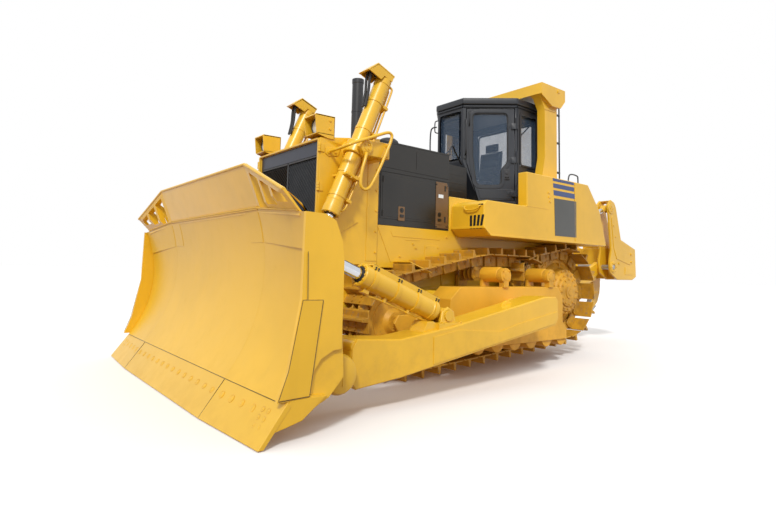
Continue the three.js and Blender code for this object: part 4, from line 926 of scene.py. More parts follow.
def ram_rod(shape, kind, spot):
    """The chrome rod, with its forged eye in the paint finish."""
    ram = RAMS[kind]
    shape.finish = 0
    shape.turned([(ram["rod_start"], 0.0), (ram["rod_start"], ram["rod"] - 0.003),
        (ram["rod_start"] + 0.004, ram["rod"]), (ram["reach"] - ram["eye"] * 1.25, ram["rod"]),
        (ram["reach"] - ram["eye"] * 1.25, 0.0)], spot(0, 0, 0), spot(1, 0, 0), 40)
    shape.finish = 1
    eye, half = ram["eye"], ram["eye_half"]
    shape.turned([(ram["reach"] - eye * 1.9, ram["rod"] * 1.02),
        (ram["reach"] - eye * 1.8, ram["rod"] * 1.18), (ram["reach"] - eye * 0.8, ram["rod"] * 1.3),
        (ram["reach"], ram["rod"] * 0.9)], spot(0, 0, 0), spot(1, 0, 0), 32)
    shape.turned([(0, 0.0), (0, eye - 0.006), (0.006, eye), (2 * half - 0.006, eye), (2 * half, eye - 0.006),
        (2 * half, 0.0)], spot(ram["reach"], -half, 0), spot(ram["reach"], 1, 0), 32)
    for flank in (-1, 1):
        shape.turned([(0, ram["rod"] * 0.98), (0.004, ram["rod"] * 0.9), (0.006, 0.0)],
            spot(ram["reach"], flank * half, 0), spot(ram["reach"], flank * (half + 1), 0), 24)


def lift_fittings(shape, spot, matrix, hose):
    """Collar, head guard, hard lines and their clamps on a lift cylinder."""
    start, ahead = spot(0, 0, 0), spot(1, 0, 0)
    shape.turned([(-0.075, 0.098), (-0.075, 0.116), (-0.065, 0.124), (0.065, 0.124), (0.075, 0.116),
        (0.075, 0.098)], start, ahead, 40, closed=True)
    for flank in (-1, 1):
        end = spot(0, flank * (0.155 if flank > 0 else 0.15), 0)
        shape.rod(spot(0, flank * 0.09, 0), end, 0.046, 28, 0.003)
        shape.rod(spot(0, flank * 0.09, 0), spot(0, flank * 0.128, 0), 0.07, 28, 0.006)
    # head guard: a bent hood of plate that stands forward of the tube's head
    hood = [(-1.018, -0.066), (-1.018, 0.196), (-0.862, 0.286), (-0.862, 0.262), (-0.99, 0.186),
        (-0.99, -0.066)]
    shape.prism([spot(x, -0.094, z) for x, z in hood], matrix.to_3x3() @ Vector((0, 0.188, 0)), 0.004)
    cheek = [(-1.01, -0.06), (-1.01, 0.19), (-0.866, 0.27), (-0.866, 0.085), (-0.93, 0.06), (-0.93, -0.06)]
    for y in (-0.094, 0.08):
        shape.prism([spot(x, y, z) for x, z in cheek], matrix.to_3x3() @ Vector((0, 0.014, 0)), 0.003)
    shape.bolt_row(spot(-1.02, -0.06, -0.03), spot(-1.02, 0.06, -0.03), 3, spot(-1, 0, 0) - start, 0.012)
    shape.turned([(-0.945, 0.0), (-0.945, 0.06), (-0.965, 0.058), (-0.985, 0.04), (-0.985, 0.0)], start,
        ahead, 24)
    # hard lines down the rear of the tube
    for y, end in ((-0.03, 0.72), (0.035, 0.68)):
        shape.pipe([spot(-0.9, y, -0.06), spot(-0.9, y, -0.125), spot(-0.86, y, -0.135), spot(-0.1, y, -0.15),
            spot(0.1, y, -0.15), spot(end - 0.1, y, -0.132), spot(end, y, -0.128),
            spot(end + 0.03, y, -0.09)], 0.0125, 10)
    for x in (-0.62, -0.25, 0.3, 0.58):
        shape.block((x - 0.018, -0.062, -0.158), (x + 0.018, 0.066, -0.088), 0.005, matrix)
        shape.turned([(x - 0.016, 0.092), (x - 0.016, 0.099), (x + 0.016, 0.099), (x + 0.016, 0.092)], start,
            ahead, 32, closed=True)
        shape.bolt(spot(x, 0.002, -0.158), spot(0, 0, -1) - start, 0.01)
    # the collar plate with ears below the pivot
    shape.block((0.335, -0.125, -0.075), (0.365, 0.15, 0.075), 0.006, matrix)
    for y in (-0.108, 0.133):
        shape.bolt(spot(0.365, y, 0.0), ahead - start, 0.013)
    # hoses in the head guard
    shape.finish = 1
    for y in (-0.045, 0.045):
        shape.pipe([spot(-0.9, y, 0.05), spot(-0.97, y, 0.09), spot(-0.975, y, 0.16),
            spot(-0.9, y * 0.8, 0.21), spot(-0.8, y * 0.7, 0.19), spot(-0.66, y * 0.6, 0.135),
            spot(-0.5, y * 0.5, 0.112)], hose, 10)
    shape.finish = 0


def tilt_fittings(shape, spot, matrix):
    """The guard along the top of a tilt cylinder, its clamps, port blocks and line."""
    start, ahead = spot(0, 0, 0), spot(1, 0, 0)
    low, high = 0.14, 1.02
    shape.block((low, -0.078, 0.112), (high, 0.064, 0.124), 0.003, matrix)
    shape.block((low, 0.056, 0.068), (high, 0.066, 0.124), 0.003, matrix)
    for x in (0.17, 0.42, 0.68, 0.97):
        shape.turned([(x - 0.02, 0.1), (x - 0.02, 0.11), (x + 0.02, 0.11), (x + 0.02, 0.1)], start, ahead, 32,
            closed=True)
        shape.finish = 1
        for dx in (-0.016, 0.016):
            for y in (-0.052, 0.036):
                shape.bolt(spot(x + dx, y, 0.124), spot(0, 0, 1) - start, 0.01, False)
            for z in (0.084, 0.104):
                shape.bolt(spot(x + dx, 0.066, z), spot(0, 1, 0) - start, 0.009, False)
        shape.finish = 0
    shape.block((0.95, -0.035, -0.14), (1.02, 0.035, -0.095), 0.006, matrix)
    shape.pipe([spot(0.985, 0, -0.125), spot(0.93, 0, -0.15), spot(0.85, 0, -0.128), spot(0.3, 0, -0.126),
        spot(0.18, 0, -0.12), spot(0.15, 0, -0.09)], 0.011, 10)
    for x in (0.45, 0.75):
        shape.block((x - 0.015, -0.025, -0.14), (x + 0.015, 0.025, -0.095), 0.004, matrix)


def ripper_fittings(shape, spot, matrix, tube, gland):
    """Port blocks, line and clamps along a ripper cylinder."""
    shape.block((0.11, -0.028, tube - 0.01), (0.17, 0.028, tube + 0.032), 0.005, matrix)
    shape.block((gland - 0.12, -0.028, tube - 0.01), (gland - 0.06, 0.028, tube + 0.028), 0.005, matrix)
    shape.pipe([spot(gland - 0.09, 0, tube + 0.02), spot(gland - 0.13, 0, tube + 0.032),
        spot(gland - 0.2, 0, tube + 0.014), spot(0.25, 0, tube + 0.014), spot(0.19, 0, tube + 0.02),
        spot(0.15, 0, tube + 0.02)], 0.01, 10)
    for x in (0.33, gland - 0.26):
        shape.block((x - 0.012, -0.02, tube - 0.012), (x + 0.012, 0.02, tube + 0.028), 0.003, matrix)


def build_rams(context):
    hose = context.scene.bulldozer_trim.hose
    for kind, ram in RAMS.items():
        matrix = ram_matrix(kind)

        def spot(x, y, z):
            return matrix @ Vector((x, y, z))

        def barrel(shape):
            ram_tube(shape, kind, spot)
            if kind == "lift":
                lift_fittings(shape, spot, matrix, hose)
                return
            ram_base_eye(shape, kind, spot)
            if kind == "tilt":
                tilt_fittings(shape, spot, matrix)
            else:
                ripper_fittings(shape, spot, matrix, ram["tube"], ram["gland"])

        paired(f"{kind}_cylinder", barrel, ["yellow", "rubber"], kind + "_barrel_{}", "yellow_paint",
            [kind + "_barrel_{}"])
        paired(f"{kind}_piston_rod", lambda shape: ram_rod(shape, kind, spot), ["chrome", "yellow"],
            kind + "_rod_{}", "chrome_rod", [kind + "_rod_{}"])


# ---------------------------------------------------------------- blade and arms

MOLDBOARD = ((5.38, 0.29), (5.16, 1.71))
HOLLOW = 0.19
CENTRE_HALF = 1.19
BLADE_HALF = 2.15
WING_REACH = 0.92
EDGE_TIP = 5.59


def moldboard_curve(steps, low=0.0, high=1.0, ahead=0.0):
    """Points (x, z) of the moldboard's hollow front between two shares of its height, `ahead` of it."""
    (bx, bz), (tx, tz) = MOLDBOARD
    chord = math.hypot(tx - bx, tz - bz)
    radius = chord * chord / (8 * HOLLOW) + HOLLOW / 2
    half = math.asin(chord / 2 / radius)
    ux, uz = (tx - bx) / chord, (tz - bz) / chord
    points = []
    for i in range(steps + 1):
        angle = -half + 2 * half * (low + (high - low) * i / steps)
        up = chord / 2 + radius * math.sin(angle)
        back = radius * math.cos(angle) - radius + HOLLOW - ahead
        points.append((bx + ux * up - uz * back, bz + uz * up + ux * back))
    return points


def on_wing(x, z, share):
    """A front-view point of the straight blade, moved out along a wing by a share of its reach."""
    rise = max(0.0, z) / MOLDBOARD[1][1]
    return at(x - share * 0.055 + share * rise * 0.105, CENTRE_HALF + share * WING_REACH,
        z - share * rise * 0.09)


def wing_plate(shape, outline, inner, outer):
    """A plate drawn on the straight blade, then led out along the wing between two shares of its reach."""
    part = Shape()
    part.prism([Vector((x, 0, z)) for x, z in outline], OUTWARD, 0.0)
    for vertex in part.bm.verts:
        vertex.co = on_wing(vertex.co.x, vertex.co.z, inner + (outer - inner) * vertex.co.y)
    shape.take(part.bm)


def build_skin(shape):
    """The smooth front of the moldboard, straight in the middle and folded forward at the wings."""
    front = moldboard_curve(28, 0.002, 0.998, 0.0075)
    outline = front + [(x - 0.01, z) for x, z in reversed(front)]
    shape.prism([at(x, 0, z) for x, z in outline], Vector((0, CENTRE_HALF - 0.002, 0)), 0.0)
    wing_plate(shape, outline, 0.0, 0.985)


def build_blade(context):
    softened("cutting_edge", "edge", 0.004)
    for side in SIDES:
        softened(f"end_bit_{side}", "edge", 0.004)

    face = Vector((MOLDBOARD[0][1], 0, EDGE_TIP - MOLDBOARD[0][0])).normalized()

    def on_edge(share, y, shift=0.0):
        """A place on the front of the cutting edge: 0 at its tip, 1 at its top."""
        x = EDGE_TIP + share * (MOLDBOARD[0][0] - EDGE_TIP)
        return at(x - shift, y, share * MOLDBOARD[0][1]) + face * 0.001

    def edge_bolts():
        """Places and head radii of the bolts: along the edge, on the wing, and on the end bit."""
        for i in range(7):
            yield on_edge(0.66, 0.085 + 0.17 * i), 0.021
        for share in (0.12, 0.3, 0.48, 0.66):
            yield on_edge(0.66, CENTRE_HALF + share * WING_REACH, 0.055 * share), 0.026
        for share in (0.8, 0.88):
            for level in (0.38, 0.55, 0.72):
                yield on_edge(level, CENTRE_HALF + share * WING_REACH, 0.055 * share), 0.015

    def sunk_ring(shape, place, radius):
        shape.turned([(-0.003, radius + 0.0005), (0.0022, radius + 0.0005), (0.0022, radius + 0.004),
            (-0.003, radius + 0.004)], place, place + face, 20, closed=True)

    def plow_bolt(shape, place, radius):
        shape.turned([(-0.003, radius + 0.005), (0.0015, radius + 0.003), (0.002, radius),
            (-0.001, radius * 0.86), (0.003, radius * 0.55), (0.004, 0.0)], place, place + face, 16)

    def left(shape):
        # the step under the spill guard
        shape.block(at(5.15, 0, 1.703), at(5.176, CENTRE_HALF, 1.719), 0.003)
        shape.weld([at(5.178, 0, 1.722), at(5.178, CENTRE_HALF, 1.722)], 0.006)
        top = [on_wing(x, z, share) for x, z, share in ((5.172, 1.717, 0.0), (5.172, 1.717, 0.86))]
        shape.weld(top, 0.008)
        # doubler plates at the top of the wing and of the centre
        strip = moldboard_curve(8, 0.8, 0.985, 0.0115)
        back = [(x - 0.03, z) for x, z in reversed(strip)]
        shape.prism([on_wing(x, z, 0.02) for x, z in strip + back],
            on_wing(5.17, 1.6, 0.94) - on_wing(5.17, 1.6, 0.02), 0.002)
        shape.prism([at(x, CENTRE_HALF - 0.26, z) for x, z in strip + back], Vector((0, 0.25, 0)), 0.002)
        # upright wear strip and thin seam on the side plate
        outer = BLADE_HALF - 0.012
        shape.plate([(5.233, 0.984), (5.068, 0.982), (5.155, 0.312), (5.392, 0.306), (5.325, 0.5)],
            outer - 0.004, outer + 0.01, 0.003)
        shape.plate([(5.216, 1.325), (5.204, 1.325), (5.192, 0.988), (5.204, 0.988)], outer - 0.004,
            outer + 0.003, 0.001)
        shape.plate([(5.425, 0.1), (5.205, 0.152), (5.01, 0.296), (5.15, 0.3), (5.3, 0.296)], outer - 0.004,
            outer + 0.008, 0.003)
        # spill guard: rolled top edge, band along the wing and gussets behind
        shape.rod(at(5.312, 0, 2.082), at(5.312, CENTRE_HALF, 2.082), 0.013, 12)
        shape.rod(at(5.312, CENTRE_HALF, 2.082), at(5.352, 1.988, 1.782), 0.013, 12)
        for y in (0.0, 0.42, 0.82, 1.16):
            shape.plate([(5.098, 1.7), (5.015, 1.5), (5.0, 1.5), (5.0, 1.6), (5.27, 2.052), (5.286, 2.052)],
                y, y + 0.022, 0.003)
        for share in (0.02, 0.27, 0.53, 0.78):
            y = CENTRE_HALF + share * WING_REACH
            crown = 2.052 - (y - CENTRE_HALF) * 0.375
            shape.plate([(5.11, 1.66), (5.0, 1.45), (4.986, 1.45), (4.986, 1.52), (5.15, crown - 0.08),
                (5.27, crown)], y, y + 0.02, 0.003)
        # back of the blade: upright ribs, box rail and lifting ears
        for y in (0.3, 0.6, 1.08, 1.36):
            shape.plate([(4.875, 0.47), (4.825, 0.53), (4.825, 0.97), (4.875, 1.05), (4.99, 1.16),
                (4.99, 1.0)], y - 0.013, y + 0.013, 0.004)
        shape.block(at(4.845, 0, 0.985), at(4.9, 1.33, 1.035), 0.006)
        shape.plate([(4.985, 1.46), (4.9, 1.5), (4.9, 1.6), (5.04, 1.6)], 0.42, 0.45, 0.004)
        for y in (0.7, 0.945):
            shape.plate([(4.6, 0.86), (4.88, 0.98), (4.88, 0.55), (4.64, 0.6)], y + 0.017, y + 0.026, 0.003)
        # cover over the arm's joint, in the hollow of the side plate
        joint = at(4.76, 1.862, 0.385)
        shape.turned([(0.0, 0.0), (0.0, 0.16), (0.075, 0.16), (0.11, 0.14), (0.125, 0.1), (0.13, 0.0)], joint,
            joint + OUTWARD, 40)
        shape.block(at(4.755, 1.95, 0.3), at(4.765, 1.994, 0.47), 0.002)
        shape.plate([(4.88, 0.27), (4.7, 0.225), (4.62, 0.27), (4.6, 0.36), (4.88, 0.36)], 1.862, 1.93, 0.01)
        for place, radius in edge_bolts():
            plow_bolt(shape, place, radius)

    def seams(shape):
        outer = BLADE_HALF - 0.0025
        for a, b in (((5.236, 0.984), (5.066, 0.982)), ((5.066, 0.982), (5.152, 0.312)),
                ((5.236, 0.984), (5.328, 0.5)), ((5.328, 0.5), (5.396, 0.306)),
                ((5.152, 0.309), (5.396, 0.302)), ((5.21, 1.33), (5.198, 0.988))):
            shape.rod(at(a[0], outer, a[1]), at(b[0], outer, b[1]), 0.002, 6)
        (x, z), reach = MOLDBOARD[0], 0.95
        shape.rod(at(x + 0.003, 0, z), at(x + 0.003, CENTRE_HALF, z), 0.0025, 6)
        shape.rod(on_wing(x + 0.003, z, 0.0), on_wing(x + 0.003, z, reach), 0.0025, 6)
        # the gap between edge and end bit, and soil in the sunk heads of their bolts
        shape.rod(on_edge(0.02, CENTRE_HALF + 0.001), on_edge(0.98, CENTRE_HALF + 0.001), 0.003, 6)
        shape.finish = 1
        for place, radius in edge_bolts():
            sunk_ring(shape, place, radius + 0.003)

    paired("blade_skin", build_skin, "blade", "blade", "yellow_paint")
    paired("blade_fittings", left, "blade", "blade", "yellow_paint")
    paired("blade_seams", seams, ["black", "casting"], "blade", "yellow_paint")


ARM_SKIN = ((1.636, 0.692), (1.684, 0.618), (3.0, 0.428), (4.05, 0.275), (4.538, 0.23), (4.584, 0.292),
    (4.584, 0.556), (4.536, 0.626), (4.06, 0.596), (3.39, 0.674), (1.89, 0.936), (1.672, 0.936),
    (1.636, 0.898))


def build_arms(context):
    def left(shape):
        # outer skin, its doubler towards the rear, and welds along its edges
        shape.plate(ARM_SKIN, 1.848, 1.861, 0.005)
        shape.plate([(3.32, 0.648), (2.7, 0.6), (2.42, 0.66), (1.66, 0.775), (1.66, 0.72), (1.71, 0.634),
            (3.0, 0.446), (3.66, 0.35), (3.66, 0.6)], 1.86, 1.869, 0.004)
        edge = [at(x, 1.848, z) for x, z in ARM_SKIN[2:5]]
        shape.weld(edge, 0.007)
        shape.weld([at(x, 1.848, z) for x, z in ARM_SKIN[7:12]], 0.007)
        # rounded nose above the joint
        shape.turned([(0, 0.0), (0, 0.055), (0.012, 0.062), (0.288, 0.062), (0.3, 0.055), (0.3, 0.0)],
            at(4.535, 1.55, 0.566), at(4.535, 1.851, 0.566), 28)
        # saddle and L-shaped stop under the tilt cylinder
        shape.plate([(3.54, 0.645), (3.54, 0.7), (3.6, 0.735), (3.68, 0.735), (3.74, 0.63)], 1.6, 1.8, 0.008)
        shape.block(at(3.22, 1.565, 0.6), at(3.56, 1.835, 0.716), 0.008)
        for x in (3.26, 3.5):
            shape.bolt(at(x, 1.82, 0.716), (0, 0, 1), 0.014)
            shape.bolt(at(x, 1.582, 0.716), (0, 0, 1), 0.014)
        # cap on the pivot's inner side, and lifting eye on the top
        pivot = at(ARM_PIVOT[0], 1.552, ARM_PIVOT[1])
        shape.turned([(-0.004, 0.066), (-0.004, 0.15), (0.01, 0.155), (0.03, 0.155), (0.03, 0.066)], pivot,
            pivot + OUTWARD, 36, closed=True)
        shape.plate([(2.3, 0.8), (2.33, 0.885), (2.4, 0.905), (2.46, 0.875), (2.5, 0.8)], 1.685, 1.715, 0.006)

    paired("push_arm_skin", left, "yellow", "blade_arms", "yellow_paint")
    for side in SIDES:
        softened(f"push_arm_{side}", "yellow", 0.012)


# ---------------------------------------------------------------- radiator guard and engine

GUARD = {"rear": 3.45, "front": 4.27, "half": 0.72, "rear_top": 2.72, "front_top": 2.6}
GRILLE = {"back": 4.21, "front": 4.25, "half": 0.685, "floor": 1.5, "top": 2.57, "strip": 2.415}
HULL_SIDE = 0.7


def guard_top(x):
    share = (x - GUARD["rear"]) / (GUARD["front"] - GUARD["rear"])
    return GUARD["rear_top"] + share * (GUARD["front_top"] - GUARD["rear_top"])


def handrail(shape, points, radius):
    """A bent tube with a round foot at each end."""
    shape.pipe(points, radius, 10)
    for end, inner in ((points[0], points[1]), (points[-1], points[-2])):
        end, inner = Vector(end), Vector(inner)
        shape.rod(end - (inner - end).normalized() * 0.004, end + (inner - end).normalized() * 0.012,
            radius * 2.1, 16, 0.002)


def build_radiator_guard(context):
    trim = context.scene.bulldozer_trim
    softened("radiator_guard", "yellow", 0.014)

    def left(shape):
        side = GUARD["half"]
        outward = OUTWARD
        # front frame of the grille, with hinge knuckles and the top lip
        shape.block(at(4.262, GRILLE["half"] + 0.002, 1.3), at(4.284, side - 0.002, 2.588), 0.006)
        shape.block(at(4.262, 0, GRILLE["top"] + 0.002), at(4.284, GRILLE["half"] + 0.004, 2.596), 0.006)
        shape.block(at(4.262, 0, GRILLE["floor"] - 0.04), at(4.284, GRILLE["half"] + 0.004,
            GRILLE["floor"] - 0.002), 0.006)
        for z in (1.62, 2.02, 2.44):
            for k in range(3):
                shape.rod(at(4.276, side + 0.004, z + 0.031 * k), at(4.276, side + 0.004,
                    z + 0.031 * k + 0.028), 0.017, 18, 0.002)
            shape.block(at(4.215, side - 0.002, z), at(4.28, side + 0.01, z + 0.09), 0.003)
        # seams, side plate and its bolts
        shape.plate([(3.47, 1.3), (3.47, 2.66), (3.62, 2.64), (3.62, 1.3)], side - 0.004, side + 0.006, 0.003)
        shape.bolt_row(at(3.49, side + 0.006, 1.4), at(3.49, side + 0.006, 2.58), 6, outward, 0.012)
        shape.plate([(4.0, 2.52), (4.2, 2.492), (4.2, 2.43), (4.16, 2.405), (4.04, 2.425)], side - 0.004,
            side + 0.012, 0.006)
        shape.bolt(at(4.08, side + 0.012, 2.462), outward, 0.015)
        shape.bolt(at(4.16, side + 0.012, 2.446), outward, 0.015)
        # casting that carries the lift cylinder
        tx, tz = 3.884, 2.5
        outer = 1.025
        shape.turned([(-0.004, 0.0), (-0.004, 0.082), (0.022, 0.078), (0.03, 0.066), (0.03, 0.052),
            (0.022, 0.048), (0.022, 0.0)], at(tx, outer, tz), at(tx, outer + 1, tz), 32)
        shape.bolt_ring(at(tx, outer + 0.024, tz), outward, 0.034, 4, 0.009, EIGHTH_TURN)
        shape.turned([(0.0, 0.115), (0.012, 0.112), (0.02, 0.095), (0.02, 0.058)], at(tx, side - 0.001, tz),
            at(tx, side + 1, tz), 32)
        for x, z in ((3.6, 2.445), (3.6, 2.555)):
            shape.bolt(at(x, outer, z), outward, 0.017)
        shape.plate([(3.556, 2.412), (3.556, 2.588), (3.572, 2.604), (3.66, 2.604), (3.674, 2.588),
            (3.674, 2.412)], side - 0.002, side + 0.028, 0.008)
        for z in (2.445, 2.5, 2.555):
            for x in (3.564, 3.664):
                shape.bolt(at(x, side + 0.028, z), outward, 0.009, False)
        # the walkway's edge on the top, and lifting eyes
        shape.plate([(3.56, guard_top(3.56) - 0.004), (3.56, guard_top(3.56) + 0.01),
            (4.03, guard_top(4.03) + 0.01), (4.03, guard_top(4.03) - 0.004)], 0.3, 0.62, 0.003)
        for x in (3.62, 3.8, 3.98):
            for y in (0.34, 0.58):
                shape.bolt(at(x, y, guard_top(x) + 0.01), (0.14, 0, 1), 0.01)
        eye = guard_top(3.66)
        shape.plate([(3.6, eye - 0.005), (3.63, eye + 0.062), (3.66, eye + 0.075), (3.69, eye + 0.062),
            (3.72, eye - 0.015)], 0.655, 0.68, 0.006)
        # wear pad beside the lift cylinder
        shape.plate([(4.1, 1.754), (3.915, 1.846), (3.741, 1.727), (3.977, 1.59)], side - 0.003, side + 0.012,
            0.003)

    paired("radiator_guard_trim", left, "yellow", "chassis", "yellow_paint")

    def rail(shape):
        # over the collar from the guard's front corner, then down in a long loop beside the cylinder
        y = 1.078
        handrail(shape, [at(4.15, 0.722, 2.455), at(4.145, 1.0, 2.465), at(4.106, y, 2.495),
            at(3.783, y, 2.632), at(3.64, y, 2.695), at(3.585, y, 2.695), at(3.566, y, 2.645),
            at(3.684, y, 2.384), at(3.79, y, 2.17), at(3.853, y, 2.067), at(3.9, y, 2.035),
            at(3.945, y, 2.035), at(3.985, y, 2.074), at(3.968, y, 2.235), at(3.91, y, 2.41),
            at(3.896, 1.046, 2.432)], trim.rail)

    paired("corner_handrail", rail, "yellow", "chassis", "yellow_paint")


def build_grille(context):
    count = context.scene.bulldozer_trim.louvres
    shape = Shape()
    half, floor, strip, top = GRILLE["half"] - 0.003, GRILLE["floor"] + 0.003, GRILLE["strip"], GRILLE[
        "top"] - 0.003
    shape.block(at(GRILLE["back"] + 0.001, -half, floor), at(GRILLE["back"] + 0.008, half, top), 0.001)
    shape.finish = 1
    for y in (-half, -0.012, half - 0.024):
        shape.block(at(GRILLE["back"] + 0.004, y, floor), at(GRILLE["front"] - 0.001, y + 0.024, strip),
            0.003)
    for z in (floor, strip - 0.02):
        shape.block(at(GRILLE["back"] + 0.004, -half, z), at(GRILLE["front"] - 0.001, half, z + 0.02), 0.003)
    # louvres that lean: each runs down towards the outer edge of its own panel
    drop = 0.66
    for panel_side in (-1, 1):
        inner, outer = 0.016, half - 0.026
        span = strip - floor - 0.04
        step = (span + drop) / count
        for i in range(count):
            high = floor + 0.02 + step * (i + 0.5)
            low = high - drop
            (y0, z0), (y1, z1) = (inner, high), (outer, low)
            slope = (z1 - z0) / (y1 - y0)
            if z0 > strip - 0.03:
                y0, z0 = y0 + (strip - 0.03 - z0) / slope, strip - 0.03
            if z1 < floor + 0.03:
                y1, z1 = y1 + (floor + 0.03 - z1) / slope, floor + 0.03
            if y1 - y0 < 0.03:
                continue
            blade = [at(4.22, panel_side * y0, z0), at(4.244, panel_side * y0, z0 - 0.012),
                at(4.248, panel_side * y0, z0 - 0.004), at(4.224, panel_side * y0, z0 + 0.004)]
            shape.prism(blade, Vector((0, panel_side * (y1 - y0), z1 - z0)), 0.0)
    piece("grille_louvres", shape, ["black", "plastic"], "chassis", "grille_black", ["grille"])
    band = Shape()
    band.block(at(GRILLE["back"] + 0.004, -half, strip + 0.002), at(GRILLE["front"] + 0.002, half, top),
        0.004)
    piece("grille_strip", band, "navy", "chassis", "grille_black")


def build_headlamps(context):
    def left(shape):
        inner, outer = 0.5, 0.735
        base = guard_top(4.1) - 0.03
        # open box of bent plate: roof, floor and two cheeks round a hollow, with painted shade at its back
        roof = [(4.095, 2.846), (4.338, 2.842), (4.348, 2.832), (4.348, 2.822), (4.335, 2.822), (4.11, 2.826),
            (4.11, base), (4.095, base)]
        shape.plate(roof, inner, outer, 0.005)
        cheek = [(4.095, base), (4.095, 2.846), (4.338, 2.842), (4.345, 2.82), (4.325, 2.64), (4.3, 2.622),
            (4.18, base)]
        for y in (inner, outer - 0.012):
            shape.plate(cheek, y, y + 0.012, 0.004)
        shape.plate([(4.11, 2.632), (4.318, 2.628), (4.32, 2.64), (4.11, 2.646)], inner, outer, 0.003)
        shape.bolt(at(4.16, outer, 2.7), (0, 1, 0), 0.012)
        shape.bolt(at(4.16, outer, 2.79), (0, 1, 0), 0.012)
        shape.finish = 1
        # black plate across the back of the box: painted shade for the hollow behind the lamp
        shape.block(at(4.112, inner + 0.012, 2.648), at(4.16, outer - 0.012, 2.824), 0.002)
        centre = at(4.16, (inner + outer) / 2, 2.735)
        ahead = centre + Vector((1, 0, 0))
        shape.turned([(0.0, 0.0), (0.0, 0.045), (0.05, 0.074), (0.1, 0.08), (0.104, 0.082), (0.112, 0.08),
            (0.112, 0.074), (0.104, 0.073)], centre, ahead, 28)
        shape.block(centre + Vector((0.01, -0.09, -0.012)), centre + Vector((0.06, 0.09, 0.012)), 0.003)
        shape.finish = 2
        shape.turned([(0.104, 0.073), (0.11, 0.05), (0.112, 0.0)], centre, ahead, 28)
        shape.finish = 3
        shape.turned([(0.03, 0.0), (0.034, 0.03), (0.06, 0.056), (0.102, 0.072)], centre, ahead, 24)

    paired("headlamp_box", left, ["yellow", "black", "lens", "reflector"], "chassis", "yellow_paint",
        ["headlamp_{}"])


